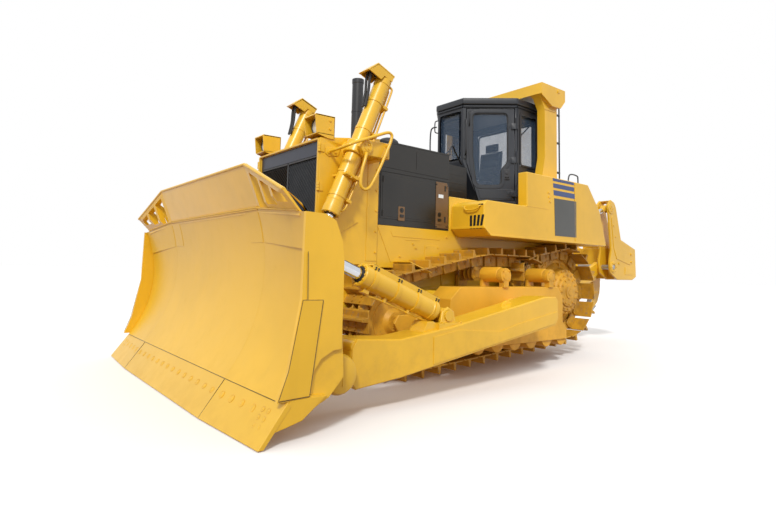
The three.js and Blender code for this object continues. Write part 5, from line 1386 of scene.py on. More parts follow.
def build_engine(context):
    softened("hood", "charcoal", 0.01)
    softened("engine_block", "casting", 0.012)

    def left(shape):
        face, outward = HULL_SIDE, OUTWARD
        # one pressed cover: skin, swaged door panels, seam and rear frame
        shape.plate([(2.29, 1.724), (2.28, 1.74), (2.28, 2.7), (3.441, 2.7), (3.441, 1.724)], face - 0.019,
            face - 0.001, 0.004)
        shape.plate([(2.3, 2.385), (2.3, 2.69), (3.43, 2.69), (3.43, 2.405)], face - 0.003, face + 0.006,
            0.004)
        shape.plate([(2.56, 1.8), (2.56, 2.33), (3.415, 2.345), (3.415, 1.8)], face - 0.003, face + 0.006,
            0.005)
        shape.plate([(2.585, 1.825), (2.585, 2.29), (3.39, 2.305), (3.39, 1.825)], face - 0.002, face + 0.01,
            0.005)
        shape.block(at(2.3, face - 0.001, 2.35), at(3.43, face + 0.008, 2.362), 0.002)
        shape.block(at(2.86, face + 0.004, 2.44), at(2.866, face + 0.009, 2.66), 0.001)
        for x in (2.36, 3.38):
            for z in (1.86, 2.26):
                shape.rod(at(x, face + 0.008, z - 0.035), at(x, face + 0.008, z + 0.035), 0.01, 14, 0.002)
        # latches in dished plates
        shape.finish = 1
        for x, z in ((3.045, 1.8), (2.415, 1.8)):
            shape.block(at(x, face + 0.004, z - 0.01), at(x + 0.1, face + 0.014, z + 0.16), 0.008)
        shape.finish = 0
        for x, z in ((3.095, 1.915), (2.465, 1.915)):
            shape.rod(at(x, face + 0.012, z), at(x, face + 0.02, z), 0.03, 20, 0.003)
            shape.block(at(x - 0.03, face + 0.014, z - 0.085), at(x + 0.03, face + 0.024, z - 0.05), 0.006)
            shape.bolt(at(x, face + 0.018, z), outward, 0.01, False)
        for x, z in ((2.32, 2.29), (2.32, 1.77), (2.51, 2.3), (2.51, 1.76)):
            shape.bolt(at(x, face, z), outward, 0.011)

    def wear(shape):
        face = HULL_SIDE
        shape.plate([(2.3, 1.745), (2.3, 2.29), (2.33, 2.335), (2.52, 2.335), (2.52, 1.745)], face - 0.002,
            face + 0.007, 0.005)
        for x, z in ((2.33, 2.28), (2.33, 1.78)):
            shape.bolt(at(x, face + 0.007, z), (0, 1, 0), 0.01)

    def glint(shape):
        shape.block(at(2.392, 0.705, 2.128), at(2.482, 0.713, 2.176), 0.005)

    paired("engine_cover_panels", left, ["charcoal", "tan"], "chassis", "charcoal_panel", ["engine_cover_{}"])
    paired("engine_cover_bracket", wear, "tan", "chassis", "charcoal_panel")
    paired("engine_cover_reflector", glint, "reflector", "chassis", "charcoal_panel")

    top = Shape()
    for y in (-0.36, 0.0, 0.36):
        top.block(at(2.33, y - 0.006, 2.716), at(3.4, y + 0.006, 2.728), 0.003)
    for y in (-0.6, 0.6):
        top.bolt_row(at(2.36, y, 2.72), at(3.4, y, 2.72), 8, (0, 0, 1), 0.01)
    for y in (-0.401, 0.394):
        for z in (2.3, 2.42, 2.54):
            top.block(at(1.7, y, z), at(2.2, y + 0.007, z + 0.022), 0.003)
    top.rod(at(2.24, -0.2, 2.73), at(2.24, -0.2, 2.78), 0.05, 24, 0.006)
    piece("hood_ribs", top, "charcoal", "chassis", "charcoal_panel")

    stack = Shape()
    foot, up = at(3.28, 0, 2.7203), at(3.28, 0, 3.7203)
    stack.turned([(0.0, 0.0), (0.0, 0.1), (0.016, 0.1), (0.02, 0.082), (0.1, 0.08), (0.12, 0.0735),
        (0.885, 0.0735), (0.89, 0.078), (0.92, 0.0785), (0.944, 0.0785), (0.944, 0.064), (0.6, 0.062),
        (0.6, 0.0)], foot, up, 40)
    stack.bolt_ring(at(3.28, 0, 2.736), (0, 0, 1), 0.09, 6, 0.008)
    for z in (0.14, 0.5):
        stack.turned([(z, 0.072), (z, 0.077), (z + 0.022, 0.077), (z + 0.022, 0.072)], foot, up, 36,
            closed=True)
    piece("exhaust_pipe", stack, "black", "chassis", "stack_black", ["exhaust_stack"])

    bowl = Shape()
    foot, up = at(2.75, 0, 2.7203), at(2.75, 0, 3.7203)
    bowl.turned([(0.0, 0.0), (0.0, 0.105), (0.035, 0.105), (0.045, 0.09), (0.085, 0.09), (0.095, 0.146),
        (0.105, 0.15), (0.15, 0.15), (0.158, 0.14), (0.168, 0.14), (0.172, 0.149), (0.182, 0.149),
        (0.215, 0.134), (0.243, 0.1), (0.258, 0.055), (0.263, 0.0)], foot, up, 44)
    bowl.rod(at(2.75, 0, 2.978), at(2.75, 0, 2.985), 0.018, 16, 0.003)
    for k in range(14):
        bowl.block((-0.003, 0.12, 0.045), (0.003, 0.147, 0.094), 0.0,
            Matrix.Translation(foot) @ Matrix.Rotation(2 * math.pi * k / 14, 4, "Z"))
    piece("precleaner_bowl", bowl, "black", "chassis", "stack_black", ["precleaner"])


def build_main_frame(context):
    softened("main_frame", "yellow", 0.012)

    def left(shape):
        face, outward = HULL_SIDE, OUTWARD
        # lower side panel: swaged line, access plate with bolts, slanting seam
        shape.weld([at(3.245, face, 1.66), at(3.215, face, 1.602), at(2.44, face, 1.598)], 0.005)
        shape.weld([at(3.01, face, 1.566), at(2.776, face, 1.571)], 0.004)
        shape.prism([at(3.432, face - 0.002, 1.7), at(3.444, face - 0.002, 1.7), at(3.242, face - 0.002, 1.3),
            at(3.23, face - 0.002, 1.3)], Vector((0, 0.007, 0)), 0.001)
        for x, z in ((2.89, 1.525), (2.845, 1.48), (3.1, 1.37), (2.32, 1.64), (2.32, 1.36)):
            shape.bolt(at(x, face, z), outward, 0.013)
        shape.plate([(2.45, 1.3), (2.45, 1.52), (2.7, 1.52), (2.7, 1.3)], face - 0.002, face + 0.006, 0.004)
        for x in (2.475, 2.675):
            for z in (1.325, 1.495):
                shape.bolt(at(x, face + 0.006, z), outward, 0.009)
        # shield between the hull and the top of the track
        shape.prism([at(3.2, 0.702, 1.296), at(3.2, 0.702, 1.308), at(2.86, 0.702, 1.192),
            at(2.86, 0.702, 1.18)], Vector((0, 0.3, 0)), 0.003)
        # hull between the tracks: ribs along the side and the bottom guard's bolts
        shape.block(at(-0.3, 0.512, 0.62), at(3.45, 0.528, 0.66), 0.006)
        for x in (0.3, 1.3, 2.2, 3.1):
            shape.block(at(x, 0.512, 0.68), at(x + 0.03, 0.536, 1.22), 0.006)
        shape.bolt_row(at(-0.2, 0.48, 0.507), at(3.4, 0.48, 0.507), 16, (0, 0, -1), 0.014)
        shape.bolt_row(at(-0.2, 0.16, 0.507), at(3.4, 0.16, 0.507), 12, (0, 0, -1), 0.014)
        # rear face: rows of bolts on the ripper's mounting, and a weld beside them
        for z in (1.16, 1.88):
            shape.bolt_row(at(-0.7, 0.6, z), at(-0.7, 0.6, z - 0.34), 4, (-1, 0, 0), 0.016)
        shape.weld([at(-0.66, 0.648, 0.8), at(-0.66, 0.648, 1.62)], 0.009)

    paired("hull_trim", left, "yellow", "chassis", "yellow_paint")

    rear = Shape()
    rear.block(at(-0.716, -0.1, 1.98), at(-0.698, 0.1, 2.09), 0.006)
    rear.turned([(0.0, 0.0), (0.0, 0.075), (0.01, 0.075), (0.014, 0.06), (0.014, 0.0)], at(-0.699, 0, 1.36),
        at(-1.699, 0, 1.36), 28)
    rear.bolt_ring(at(-0.711, 0, 1.36), (-1, 0, 0), 0.06, 8, 0.008)
    piece("hull_rear_cover", rear, "yellow", "chassis", "yellow_paint")


# ---------------------------------------------------------------- fenders, tank and roll-over frame


def build_fenders(context):
    trim = context.scene.bulldozer_trim
    for side in SIDES:
        softened(f"fender_{side}", "yellow", 0.016)
    softened("fuel_tank", "yellow", 0.018)
    softened("rops", "yellow", 0.02)

    def left(shape):
        outer = 1.25
        # lip along the lower edge, its bolts, and seams of the plates
        shape.plate([(2.236, 1.742), (2.12, 1.652), (-0.6, 1.652), (-0.6, 1.676), (2.108, 1.676),
            (2.224, 1.762)], outer - 0.004, outer + 0.01, 0.004)
        shape.prism([at(2.236, 0.706, 1.742), at(2.236, 0.706, 1.77), at(2.246, 0.706, 1.77),
            at(2.246, 0.706, 1.742)], Vector((0, 0.544, 0)), 0.003)
        shape.plate([(0.245, 1.66), (0.237, 1.66), (0.237, 2.54), (0.245, 2.54)], outer - 0.003,
            outer + 0.003, 0.001)
        shape.plate([(1.384, 2.085), (1.376, 2.085), (0.9, 2.085), (0.9, 2.091), (1.384, 2.091)],
            outer - 0.003, outer + 0.003, 0.001)
        for x, z in ((0.892, 2.322), (0.881, 2.261), (0.861, 2.198)):
            shape.block(at(x - 0.018, outer - 0.002, z - 0.016), at(x + 0.018, outer + 0.01, z + 0.012),
                0.004)
        # hook over the front vent, and tread bars on the step
        shape.pipe([at(2.238, 1.2, 2.02), at(2.268, 1.2, 2.02), at(2.27, 1.16, 1.97), at(2.27, 0.98, 1.965),
            at(2.268, 0.94, 2.02), at(2.238, 0.94, 2.02)], 0.009, 8)
        for x in (1.45, 1.6, 1.75, 1.9, 2.05):
            shape.block(at(x, 0.8, 2.086), at(x + 0.03, 1.2, 2.097), 0.003)
        shape.bolt_row(at(1.44, 0.74, 2.09), at(2.1, 0.74, 2.09), 5, (0, 0, 1), 0.011)
        # foot of the roll-over post
        shape.plate([(0.262, 2.548), (0.262, 2.575), (0.742, 2.575), (0.742, 2.548)], 0.857, 1.052, 0.006)
        for x in (0.29, 0.43, 0.57, 0.716):
            shape.bolt(at(x, 1.026, 2.575), (0, 0, 1), 0.016)
        shape.plate([(0.69, 2.57), (0.612, 2.9), (0.592, 2.9), (0.52, 2.57)], 0.998, 1.007, 0.004)
        # lifting hole and seams of the post and beam
        shape.turned([(0.0, 0.0), (0.0, 0.03), (0.01, 0.026), (0.01, 0.0)], at(0.327, 1.05, 3.935),
            at(0.327, 2.05, 3.935), 24)
        for x0, z0, x1, z1 in ((0.155, 3.814, 0.265, 3.694), (0.265, 3.692, 0.495, 3.682),
                (0.495, 3.684, 0.745, 3.806)):
            shape.weld([at(x0, 1.046, z0), at(x1, 1.046, z1)], 0.007)
        shape.weld([at(0.302, 1.0, 3.62), at(0.6, 1.0, 3.62)], 0.008)
        # tank: latch of its lid and a row of bolts
        shape.block(at(-0.12, 0.6, 2.548), at(0.02, 0.606, 2.556), 0.002)
        shape.bolt_row(at(0.2, 0.3, 2.55), at(0.2, 1.18, 2.55), 7, (0, 0, 1), 0.011)

    paired("fender_trim", left, "yellow", "chassis", "yellow_paint")

    def vents(shape):
        # flat dark strips on the fender's front, and a small dark block above them: painted shade for the
        # slots of the vent
        for i in range(4):
            y = 1.025 + 0.052 * i
            lean = 0.012 * i
            shape.prism([at(2.238, y, 1.735), at(2.238, y + 0.036, 1.735), at(2.238, y + 0.036 + lean, 1.905),
                at(2.238, y + lean, 1.905)], Vector((0.005, 0, 0)), 0.001)
        shape.block(at(2.236, 1.165, 2.024), at(2.244, 1.235, 2.04), 0.002)

    paired("fender_vents", vents, "black", "chassis", "charcoal_panel")

    def stripes(shape):
        for low, high, front, rear in ((2.497, 2.536, 0.797, 0.262), (2.403, 2.464, 0.788, 0.258),
                (2.297, 2.37, 0.779, 0.242)):
            shape.plate([(rear, low), (rear + 0.004, high), (front, high), (front - 0.006, low)], 1.249,
                1.2525, 0.0006)

    def panel(shape):
        shape.plate([(0.214, 1.738), (0.206, 2.262), (0.762, 2.256), (0.748, 1.734)], 1.249, 1.253, 0.0006)

    paired("fender_stripes", stripes, "stripe", "chassis", "yellow_paint")
    paired("fender_panel", panel, "panel", "chassis", "yellow_paint")

    def rails(shape):
        handrail(shape, [at(-0.1, 1.1, 2.552), at(-0.1, 1.1, 2.66), at(-0.09, 1.1, 2.7), at(0.1, 1.1, 2.705),
            at(0.16, 1.1, 2.66), at(0.17, 1.1, 2.552)], trim.rail * 0.6)
        shape.rod(at(0.215, 0.985, 2.552), at(0.215, 0.985, 3.74), 0.011, 12)
        for z in (2.7, 3.15, 3.58):
            shape.block(at(0.205, 0.975, z), at(0.302, 0.995, z + 0.03), 0.003)

    paired("tank_rails", rails, "black", "chassis", "stack_black")

    cap = Shape()
    cap.turned([(0.0, 0.0), (0.0, 0.078), (0.02, 0.078), (0.026, 0.066), (0.048, 0.064), (0.056, 0.052),
        (0.056, 0.0)], at(-0.02, -0.72, 2.548), at(-0.02, -0.72, 3.548), 32)
    cap.bolt_ring(at(-0.02, -0.72, 2.566), (0, 0, 1), 0.071, 8, 0.006)
    piece("tank_cap", cap, "black", "chassis", "stack_black")


# ---------------------------------------------------------------- cab

CAB = {"front": (1.55, 0.26), "shoulder": (0.98, 0.78), "floor": 2.17, "eaves": 3.65}
HINGES = (2.38, 2.87, 3.37)
DOOR_ALONG = Vector((CAB["front"][0] - CAB["shoulder"][0], CAB["front"][1] - CAB["shoulder"][1],
    0)).normalized()
DOOR_OUT = Vector((-DOOR_ALONG.y, DOOR_ALONG.x, 0))
DOOR_FRAME = ((0.21, 2.45), (0.21, 2.69), (0.12, 2.79), (0.12, 3.53), (0.64, 3.53), (0.64, 2.9), (0.58, 2.45))


def on_door(u, n, z):
    """A place on the left door: u forward from the shoulder, n outside the face, z up."""
    return at(*CAB["shoulder"], z) + DOOR_ALONG * u + DOOR_OUT * n


def door_matrix(u, n, z):
    """Axes of the left door at a place on it: x along it, y up, z outwards."""
    return Matrix.Translation(on_door(u, n, z)) @ Matrix((DOOR_ALONG, UPWARD, DOOR_OUT)).transposed().to_4x4()


def loop_frame(shape, corners, outward, width, depth, bevel=0.003):
    """A flat frame of even width just inside a closed outline of 3D corners."""
    outward = Vector(outward).normalized()
    count = len(corners)
    middle = sum((Vector(c) for c in corners), Vector()) / count
    inner = []
    for i, corner in enumerate(corners):
        corner = Vector(corner)
        before, after = Vector(corners[i - 1]), Vector(corners[(i + 1) % count])
        a, b = (corner - before).normalized(), (after - corner).normalized()
        na, nb = outward.cross(a), outward.cross(b)
        if na.dot(middle - corner) < 0:
            na = -na
        if nb.dot(middle - corner) < 0:
            nb = -nb
        inner.append(corner + (na + nb) * (width / (1 + na.dot(nb))))
    part = bmesh.new()
    outer_verts = [part.verts.new(c) for c in corners]
    inner_verts = [part.verts.new(c) for c in inner]
    faces = []
    for i in range(count):
        j = (i + 1) % count
        faces.append(part.faces.new((outer_verts[i], outer_verts[j], inner_verts[j], inner_verts[i])))
    grown = bmesh.ops.extrude_face_region(part, geom=faces)["geom"]
    bmesh.ops.translate(part, vec=outward * depth, verts=[v for v in grown if isinstance(v,
        bmesh.types.BMVert)])
    bmesh.ops.recalc_face_normals(part, faces=part.faces)
    shape.take(part, bevel, 2)


def rounded(corners, radius, steps=4):
    """A closed outline of 3D corners with each corner rounded off."""
    points = []
    count = len(corners)
    for i in range(count):
        corner, before, after = Vector(corners[i]), Vector(corners[i - 1]), Vector(corners[(i + 1) % count])
        a, b = (before - corner), (after - corner)
        reach = min(radius, a.length * 0.4, b.length * 0.4)
        start, end = corner + a.normalized() * reach, corner + b.normalized() * reach
        for k in range(steps + 1):
            t = k / steps
            points.append(start * (1 - t) ** 2 + corner * 2 * t * (1 - t) + end * t * t)
    return points


def build_cab(context):
    softened("cab_shell", "slate", 0.01, flat=0.0)
    softened("cab_roof", "slate", 0.022)

    def left(shape):
        eaves = CAB["eaves"]
        outward = OUTWARD
        # drip rail under the roof, the side window's frame, and panels beside it
        shape.prism([at(0.256, 0.795, eaves - 0.036), at(0.256, 0.806, eaves - 0.036),
            at(0.256, 0.806, eaves - 0.02), at(0.256, 0.782, eaves - 0.008), at(0.256, 0.782, eaves - 0.036)],
            Vector((0.72, 0, 0)), 0.002)
        shape.prism([on_door(0.0, 0.002, eaves - 0.036), on_door(0.0, 0.022, eaves - 0.036),
            on_door(0.0, 0.022, eaves - 0.02), on_door(0.0, 0.002, eaves - 0.01)], DOOR_ALONG * 0.77, 0.002)
        shape.prism([at(1.552, 0.258, eaves - 0.036), at(1.572, 0.258, eaves - 0.036),
            at(1.572, 0.258, eaves - 0.02), at(1.552, 0.258, eaves - 0.01)], Vector((0, -0.258, 0)), 0.002)
        window = rounded([at(0.488, 0.7795, 2.748), at(0.488, 0.7795, 3.552), at(0.912, 0.7795, 3.552),
            at(0.912, 0.7795, 2.748)], 0.07)
        loop_frame(shape, window, outward, 0.03, 0.012)
        shape.block(at(0.285, 0.776, 2.2), at(0.46, 0.787, 2.7), 0.005)
        for z in (2.3, 2.6):
            shape.bolt(at(0.31, 0.787, z), outward, 0.01)
            shape.bolt(at(0.43, 0.787, z), outward, 0.01)
        shape.block(at(0.925, 0.777, 2.2), at(0.955, 0.789, 3.6), 0.005)
        # diagonal stay behind the side glass, then the frames of the windscreen and rear window
        shape.finish = 1
        shape.rod(at(0.5, 0.735, 3.5), at(0.9, 0.735, 3.16), 0.01, 10)
        shape.finish = 0
        front = rounded([at(1.5505, 0.214, 2.835), at(1.5505, 0.214, 3.565), at(1.5505, -0.214, 3.565),
            at(1.5505, -0.214, 2.835)], 0.07)
        loop_frame(shape, front, (1, 0, 0), 0.022, 0.01)
        rear = rounded([at(0.2695, 0.565, 2.755), at(0.2695, 0.565, 3.545), at(0.2695, -0.565, 3.545),
            at(0.2695, -0.565, 2.755)], 0.08)
        loop_frame(shape, rear, (-1, 0, 0), 0.03, 0.01)
        # sill at the foot of the door
        shape.prism([on_door(0.0, 0.001, 2.182), on_door(0.0, 0.012, 2.182), on_door(0.0, 0.012, 2.214),
            on_door(0.0, 0.001, 2.218)], DOOR_ALONG * 0.44, 0.003)

    paired("cab_trim", left, ["slate", "black"], "chassis", "cab_grey")

    def rails(shape):
        # rail in front of the cab, and grab bar by its corner post
        shape.pipe([at(1.62, 0.3, 2.74), at(1.86, 0.4, 2.86), at(2.02, 0.52, 2.9), at(2.16, 0.6, 2.88),
            at(2.2, 0.62, 2.74)], 0.011, 8)
        shape.pipe([on_door(0.735, 0.02, 3.42), on_door(0.735, 0.1, 3.43), on_door(0.735, 0.12, 3.3),
            on_door(0.735, 0.12, 3.02), on_door(0.735, 0.1, 2.9), on_door(0.735, 0.02, 2.9)], 0.011, 8)

    paired("cab_front_rail", rails, "black", "chassis", "stack_black")

    def foot(shape):
        shape.rod(on_door(0.742, 0.006, 2.86), on_door(0.742, 0.02, 2.86), 0.02, 16, 0.003)

    paired("cab_rail_foot", foot, "black", "chassis", "stack_black")

    roof = Shape()
    roof.block(at(0.44, -0.44, 3.744), at(0.94, 0.44, 3.77), 0.012)
    for y in (-0.3, 0.0, 0.3):
        roof.block(at(0.98, y - 0.03, 3.746), at(1.3, y + 0.03, 3.758), 0.005)
    roof.bolt_row(at(0.48, -0.4, 3.77), at(0.48, 0.4, 3.77), 5, (0, 0, 1), 0.01)
    roof.bolt_row(at(0.9, -0.4, 3.77), at(0.9, 0.4, 3.77), 5, (0, 0, 1), 0.01)
    piece("cab_roof_panel", roof, "slate", "chassis", "cab_grey")


def build_doors(context):
    for side in SIDES:
        softened(f"door_{side}", "slate", 0.006)

    def left(shape):
        # raised skin round the opening, as one pressed frame, and the lower panel
        opening = rounded([on_door(u, -0.0055, z) for u, z in DOOR_FRAME], 0.085, 6)
        loop_frame(shape, opening, DOOR_OUT, -0.045, 0.0105)
        shape.prism([on_door(0.06, -0.006, 2.262), on_door(0.06, -0.006, 2.4), on_door(0.548, -0.006, 2.4),
            on_door(0.52, -0.006, 2.262)], DOOR_OUT * 0.008, 0.004)
        # hinge straps with two bolts in each
        for z in HINGES:
            shape.block((0, 0, 0), (0.095, 0.074, 0.012), 0.004, door_matrix(0.036, -0.005, z - 0.08))
            for u in (0.06, 0.108):
                shape.bolt(on_door(u, 0.007, z - 0.043), DOOR_OUT, 0.01)
        # grab handle at the front edge, outside latch and its plate
        shape.finish = 1
        shape.pipe([on_door(0.682, -0.004, 3.34), on_door(0.682, 0.045, 3.345), on_door(0.682, 0.055, 3.38),
            on_door(0.682, 0.055, 3.5), on_door(0.682, 0.045, 3.535), on_door(0.682, -0.004, 3.54)], 0.009, 8)
        shape.block((0, 0, 0), (0.085, 0.15, 0.014), 0.006, door_matrix(0.095, -0.003, 2.54))
        shape.rod(on_door(0.138, 0.008, 2.64), on_door(0.138, 0.022, 2.64), 0.021, 18, 0.003)
        shape.pipe([on_door(0.118, 0.008, 2.575), on_door(0.118, 0.036, 2.576), on_door(0.138, 0.042, 2.576),
            on_door(0.158, 0.036, 2.576), on_door(0.158, 0.008, 2.575)], 0.006, 8)
        # rubber round the glass
        shape.finish = 2
        gasket = rounded([on_door(u, -0.032, z) for u, z in DOOR_FRAME], 0.078, 6)
        loop_frame(shape, gasket, DOOR_OUT, 0.016, 0.024, 0.002)

    paired("door_trim", left, ["slate", "black", "rubber"], "door_{}", "cab_grey")


def build_glass(context):
    for name in ("windscreen", "rear_window"):
        softened(name, "glass", 0.001)
    for side in SIDES:
        softened(f"side_window_{side}", "glass", 0.001)
        softened(f"door_window_{side}", "glass", 0.001)


def build_interior(context):
    floor_z = CAB["floor"] + 0.0503
    shape = Shape()
    # floor mat, seat base with its slides, consoles and levers
    shape.block(at(0.5, -0.4, floor_z), at(1.3, 0.4, floor_z + 0.008), 0.004)
    shape.block(at(0.6, -0.17, floor_z), at(0.92, 0.17, floor_z + 0.05), 0.008)
    shape.turned([(0.05, 0.13), (0.1, 0.115), (0.16, 0.125), (0.2, 0.11), (0.235, 0.12)],
        at(0.76, 0, floor_z), at(0.76, 0, floor_z + 1), 24)
    for y in (-0.19, 0.165):
        shape.block(at(0.58, y, 2.452), at(0.96, y + 0.025, 2.474), 0.004)
    for y in (-0.5, 0.32):
        shape.block(at(0.56, y, floor_z), at(0.98, y + 0.18, 2.66), 0.03)
        shape.block(at(0.6, y + 0.03, 2.655), at(0.9, y + 0.15, 2.705), 0.02)
        shape.rod(at(0.935, y + 0.09, 2.65), at(0.96, y + 0.09, 2.79), 0.01, 12)
        shape.turned([(0.0, 0.0), (0.0, 0.016), (0.02, 0.026), (0.06, 0.026), (0.085, 0.014), (0.09, 0.0)],
            at(0.96, y + 0.09, 2.78), at(0.97, y + 0.09, 2.84), 18)
    # dash with its hood and gauges, and two pedals
    shape.block(at(1.3, -0.22, 2.78), at(1.37, 0.22, 2.83), 0.015)
    shape.block(at(1.31, -0.2, 2.42), at(1.35, 0.2, 2.79), 0.012)
    for y in (-0.12, 0.0, 0.12):
        shape.turned([(0.0, 0.0), (0.0, 0.042), (0.01, 0.042), (0.012, 0.036), (0.006, 0.034), (0.006, 0.0)],
            at(1.312, y, 2.7), at(0.312, y, 2.7), 24)
    for y in (-0.14, 0.14):
        shape.rod(at(1.3, y, floor_z), at(1.24, y, floor_z + 0.12), 0.009, 10)
        shape.block(at(1.2, y - 0.04, floor_z + 0.11), at(1.235, y + 0.04, floor_z + 0.18), 0.008)
    # headlining and the inside of the posts
    shape.block(at(0.4, -0.62, 3.618), at(1.1, 0.62, 3.642), 0.01)
    piece("cab_interior", shape, "plastic", "chassis", "charcoal_panel")


SIDE_PULL = 0.035
CORNER_REACH = 1.22


def cushion(outline, depth, crown, channels):
    """A crowned pad whose sides pull in between the corners, with a seam round its edge and sewn channels.

    `outline` holds its spans in its own plane and the function that puts a place of it in the frame.
    """
    (low_u, high_u), (low_v, high_v), place = outline
    steps_u, steps_v = 34, 40

    def on_pad(s, t, height, inset=1.0):
        """A place of the pad, s and t from -1 to 1, with the sides pulled in between the corners."""
        s, t = s * (1 - SIDE_PULL * (1 - t * t)) * inset, t * (1 - SIDE_PULL * (1 - s * s)) * inset
        return place((low_u + high_u) / 2 + (high_u - low_u) / 2 * s,
            (low_v + high_v) / 2 + (high_v - low_v) / 2 * t, height)

    part = bmesh.new()
    sheets = []
    for face in (1, -1):
        rows = []
        for i in range(steps_u + 1):
            row = []
            for j in range(steps_v + 1):
                s, t = 2 * i / steps_u - 1, 2 * j / steps_v - 1
                edge = (1 - abs(s) ** 5) * (1 - abs(t) ** 5)
                round_off = max(0.0, edge) ** 0.42
                rise = crown * (1 - s * s) * (1 - t * t)
                seam = 0.0
                for channel in channels:
                    seam += math.exp(-((s - channel) / 0.045) ** 2)
                ring = max(abs(s), abs(t)) - 0.8
                seam += 0.7 * math.exp(-(ring / 0.035) ** 2)
                height = face * (depth / 2) * round_off
                if face > 0:
                    height += rise - 0.012 * min(1.3, seam) * round_off
                row.append(part.verts.new(on_pad(s, t, height)))
            rows.append(row)
        sheets.append(rows)
    for face, rows in zip((1, -1), sheets):
        for i in range(steps_u):
            for j in range(steps_v):
                quad = (rows[i][j], rows[i + 1][j], rows[i + 1][j + 1], rows[i][j + 1])
                part.faces.new(quad if face > 0 else quad[::-1])
    bmesh.ops.remove_doubles(part, verts=part.verts, dist=1e-4)
    bmesh.ops.recalc_face_normals(part, faces=part.faces)
    shape = Shape()
    shape.take(part)
    # piping sewn round the edge
    border = []
    for k in range(64):
        angle = 2 * math.pi * k / 64
        c, s = math.cos(angle), math.sin(angle)
        corner = min(1 / max(abs(c), abs(s)), CORNER_REACH)
        border.append(on_pad(c * corner, s * corner, 0.0, 0.985))
    for start, end in zip(border, border[1:] + border[:1]):
        shape.rod(start, end, 0.0055, 6)
    return shape


def build_seat(context):
    def seat_place(u, v, height):
        return at(u, v, 2.551 + height - 0.03 * (u - 0.76))

    def back_place(u, v, height):
        return at(0.612 + height - 0.1 * (u - 2.9), v, u)

    def head_place(u, v, height):
        return at(0.578 + height, v, u)

    pad = cushion(((0.565, 0.975), (-0.215, 0.215), seat_place), 0.118, 0.012, (-0.32, 0.22))
    back = cushion(((2.61, 3.12), (-0.22, 0.22), back_place), 0.1, 0.01, (-0.45, 0.0, 0.42))
    head = cushion(((3.125, 3.255), (-0.125, 0.125), head_place), 0.075, 0.008, ())
    cover = Shape()
    for shape in (pad, back, head):
        mesh = bpy.data.meshes.new("pad")
        shape.bm.to_mesh(mesh)
        shape.bm.free()
        cover.bm.from_mesh(mesh)
        bpy.data.meshes.remove(mesh)
    made = piece("seat_cushions", cover, "cloth", "chassis", "seat_cloth", ["operator_seat"], smooth=60)
    frame_shape = Shape()
    frame_shape.block(at(0.6, -0.19, 2.47), at(0.95, 0.19, 2.496), 0.008)
    frame_shape.block(at(0.548, -0.17, 2.5), at(0.566, 0.17, 3.06), 0.008)
    for y in (-0.05, 0.05):
        frame_shape.rod(at(0.575, y, 3.05), at(0.578, y, 3.15), 0.007, 12)
    for y in (-0.262, 0.222):
        frame_shape.block(at(0.62, y, 2.7), at(0.9, y + 0.04, 2.745), 0.016)
        frame_shape.rod(at(0.6, y + 0.02, 2.72), at(0.6, y + 0.02, 2.6), 0.012, 12)
    piece("seat_frame", frame_shape, "plastic", "chassis", "charcoal_panel")


# ---------------------------------------------------------------- ripper


def across(place, y):
    """A place (x, z) of the side view, at y across the machine."""
    return at(place[0], y, place[1])


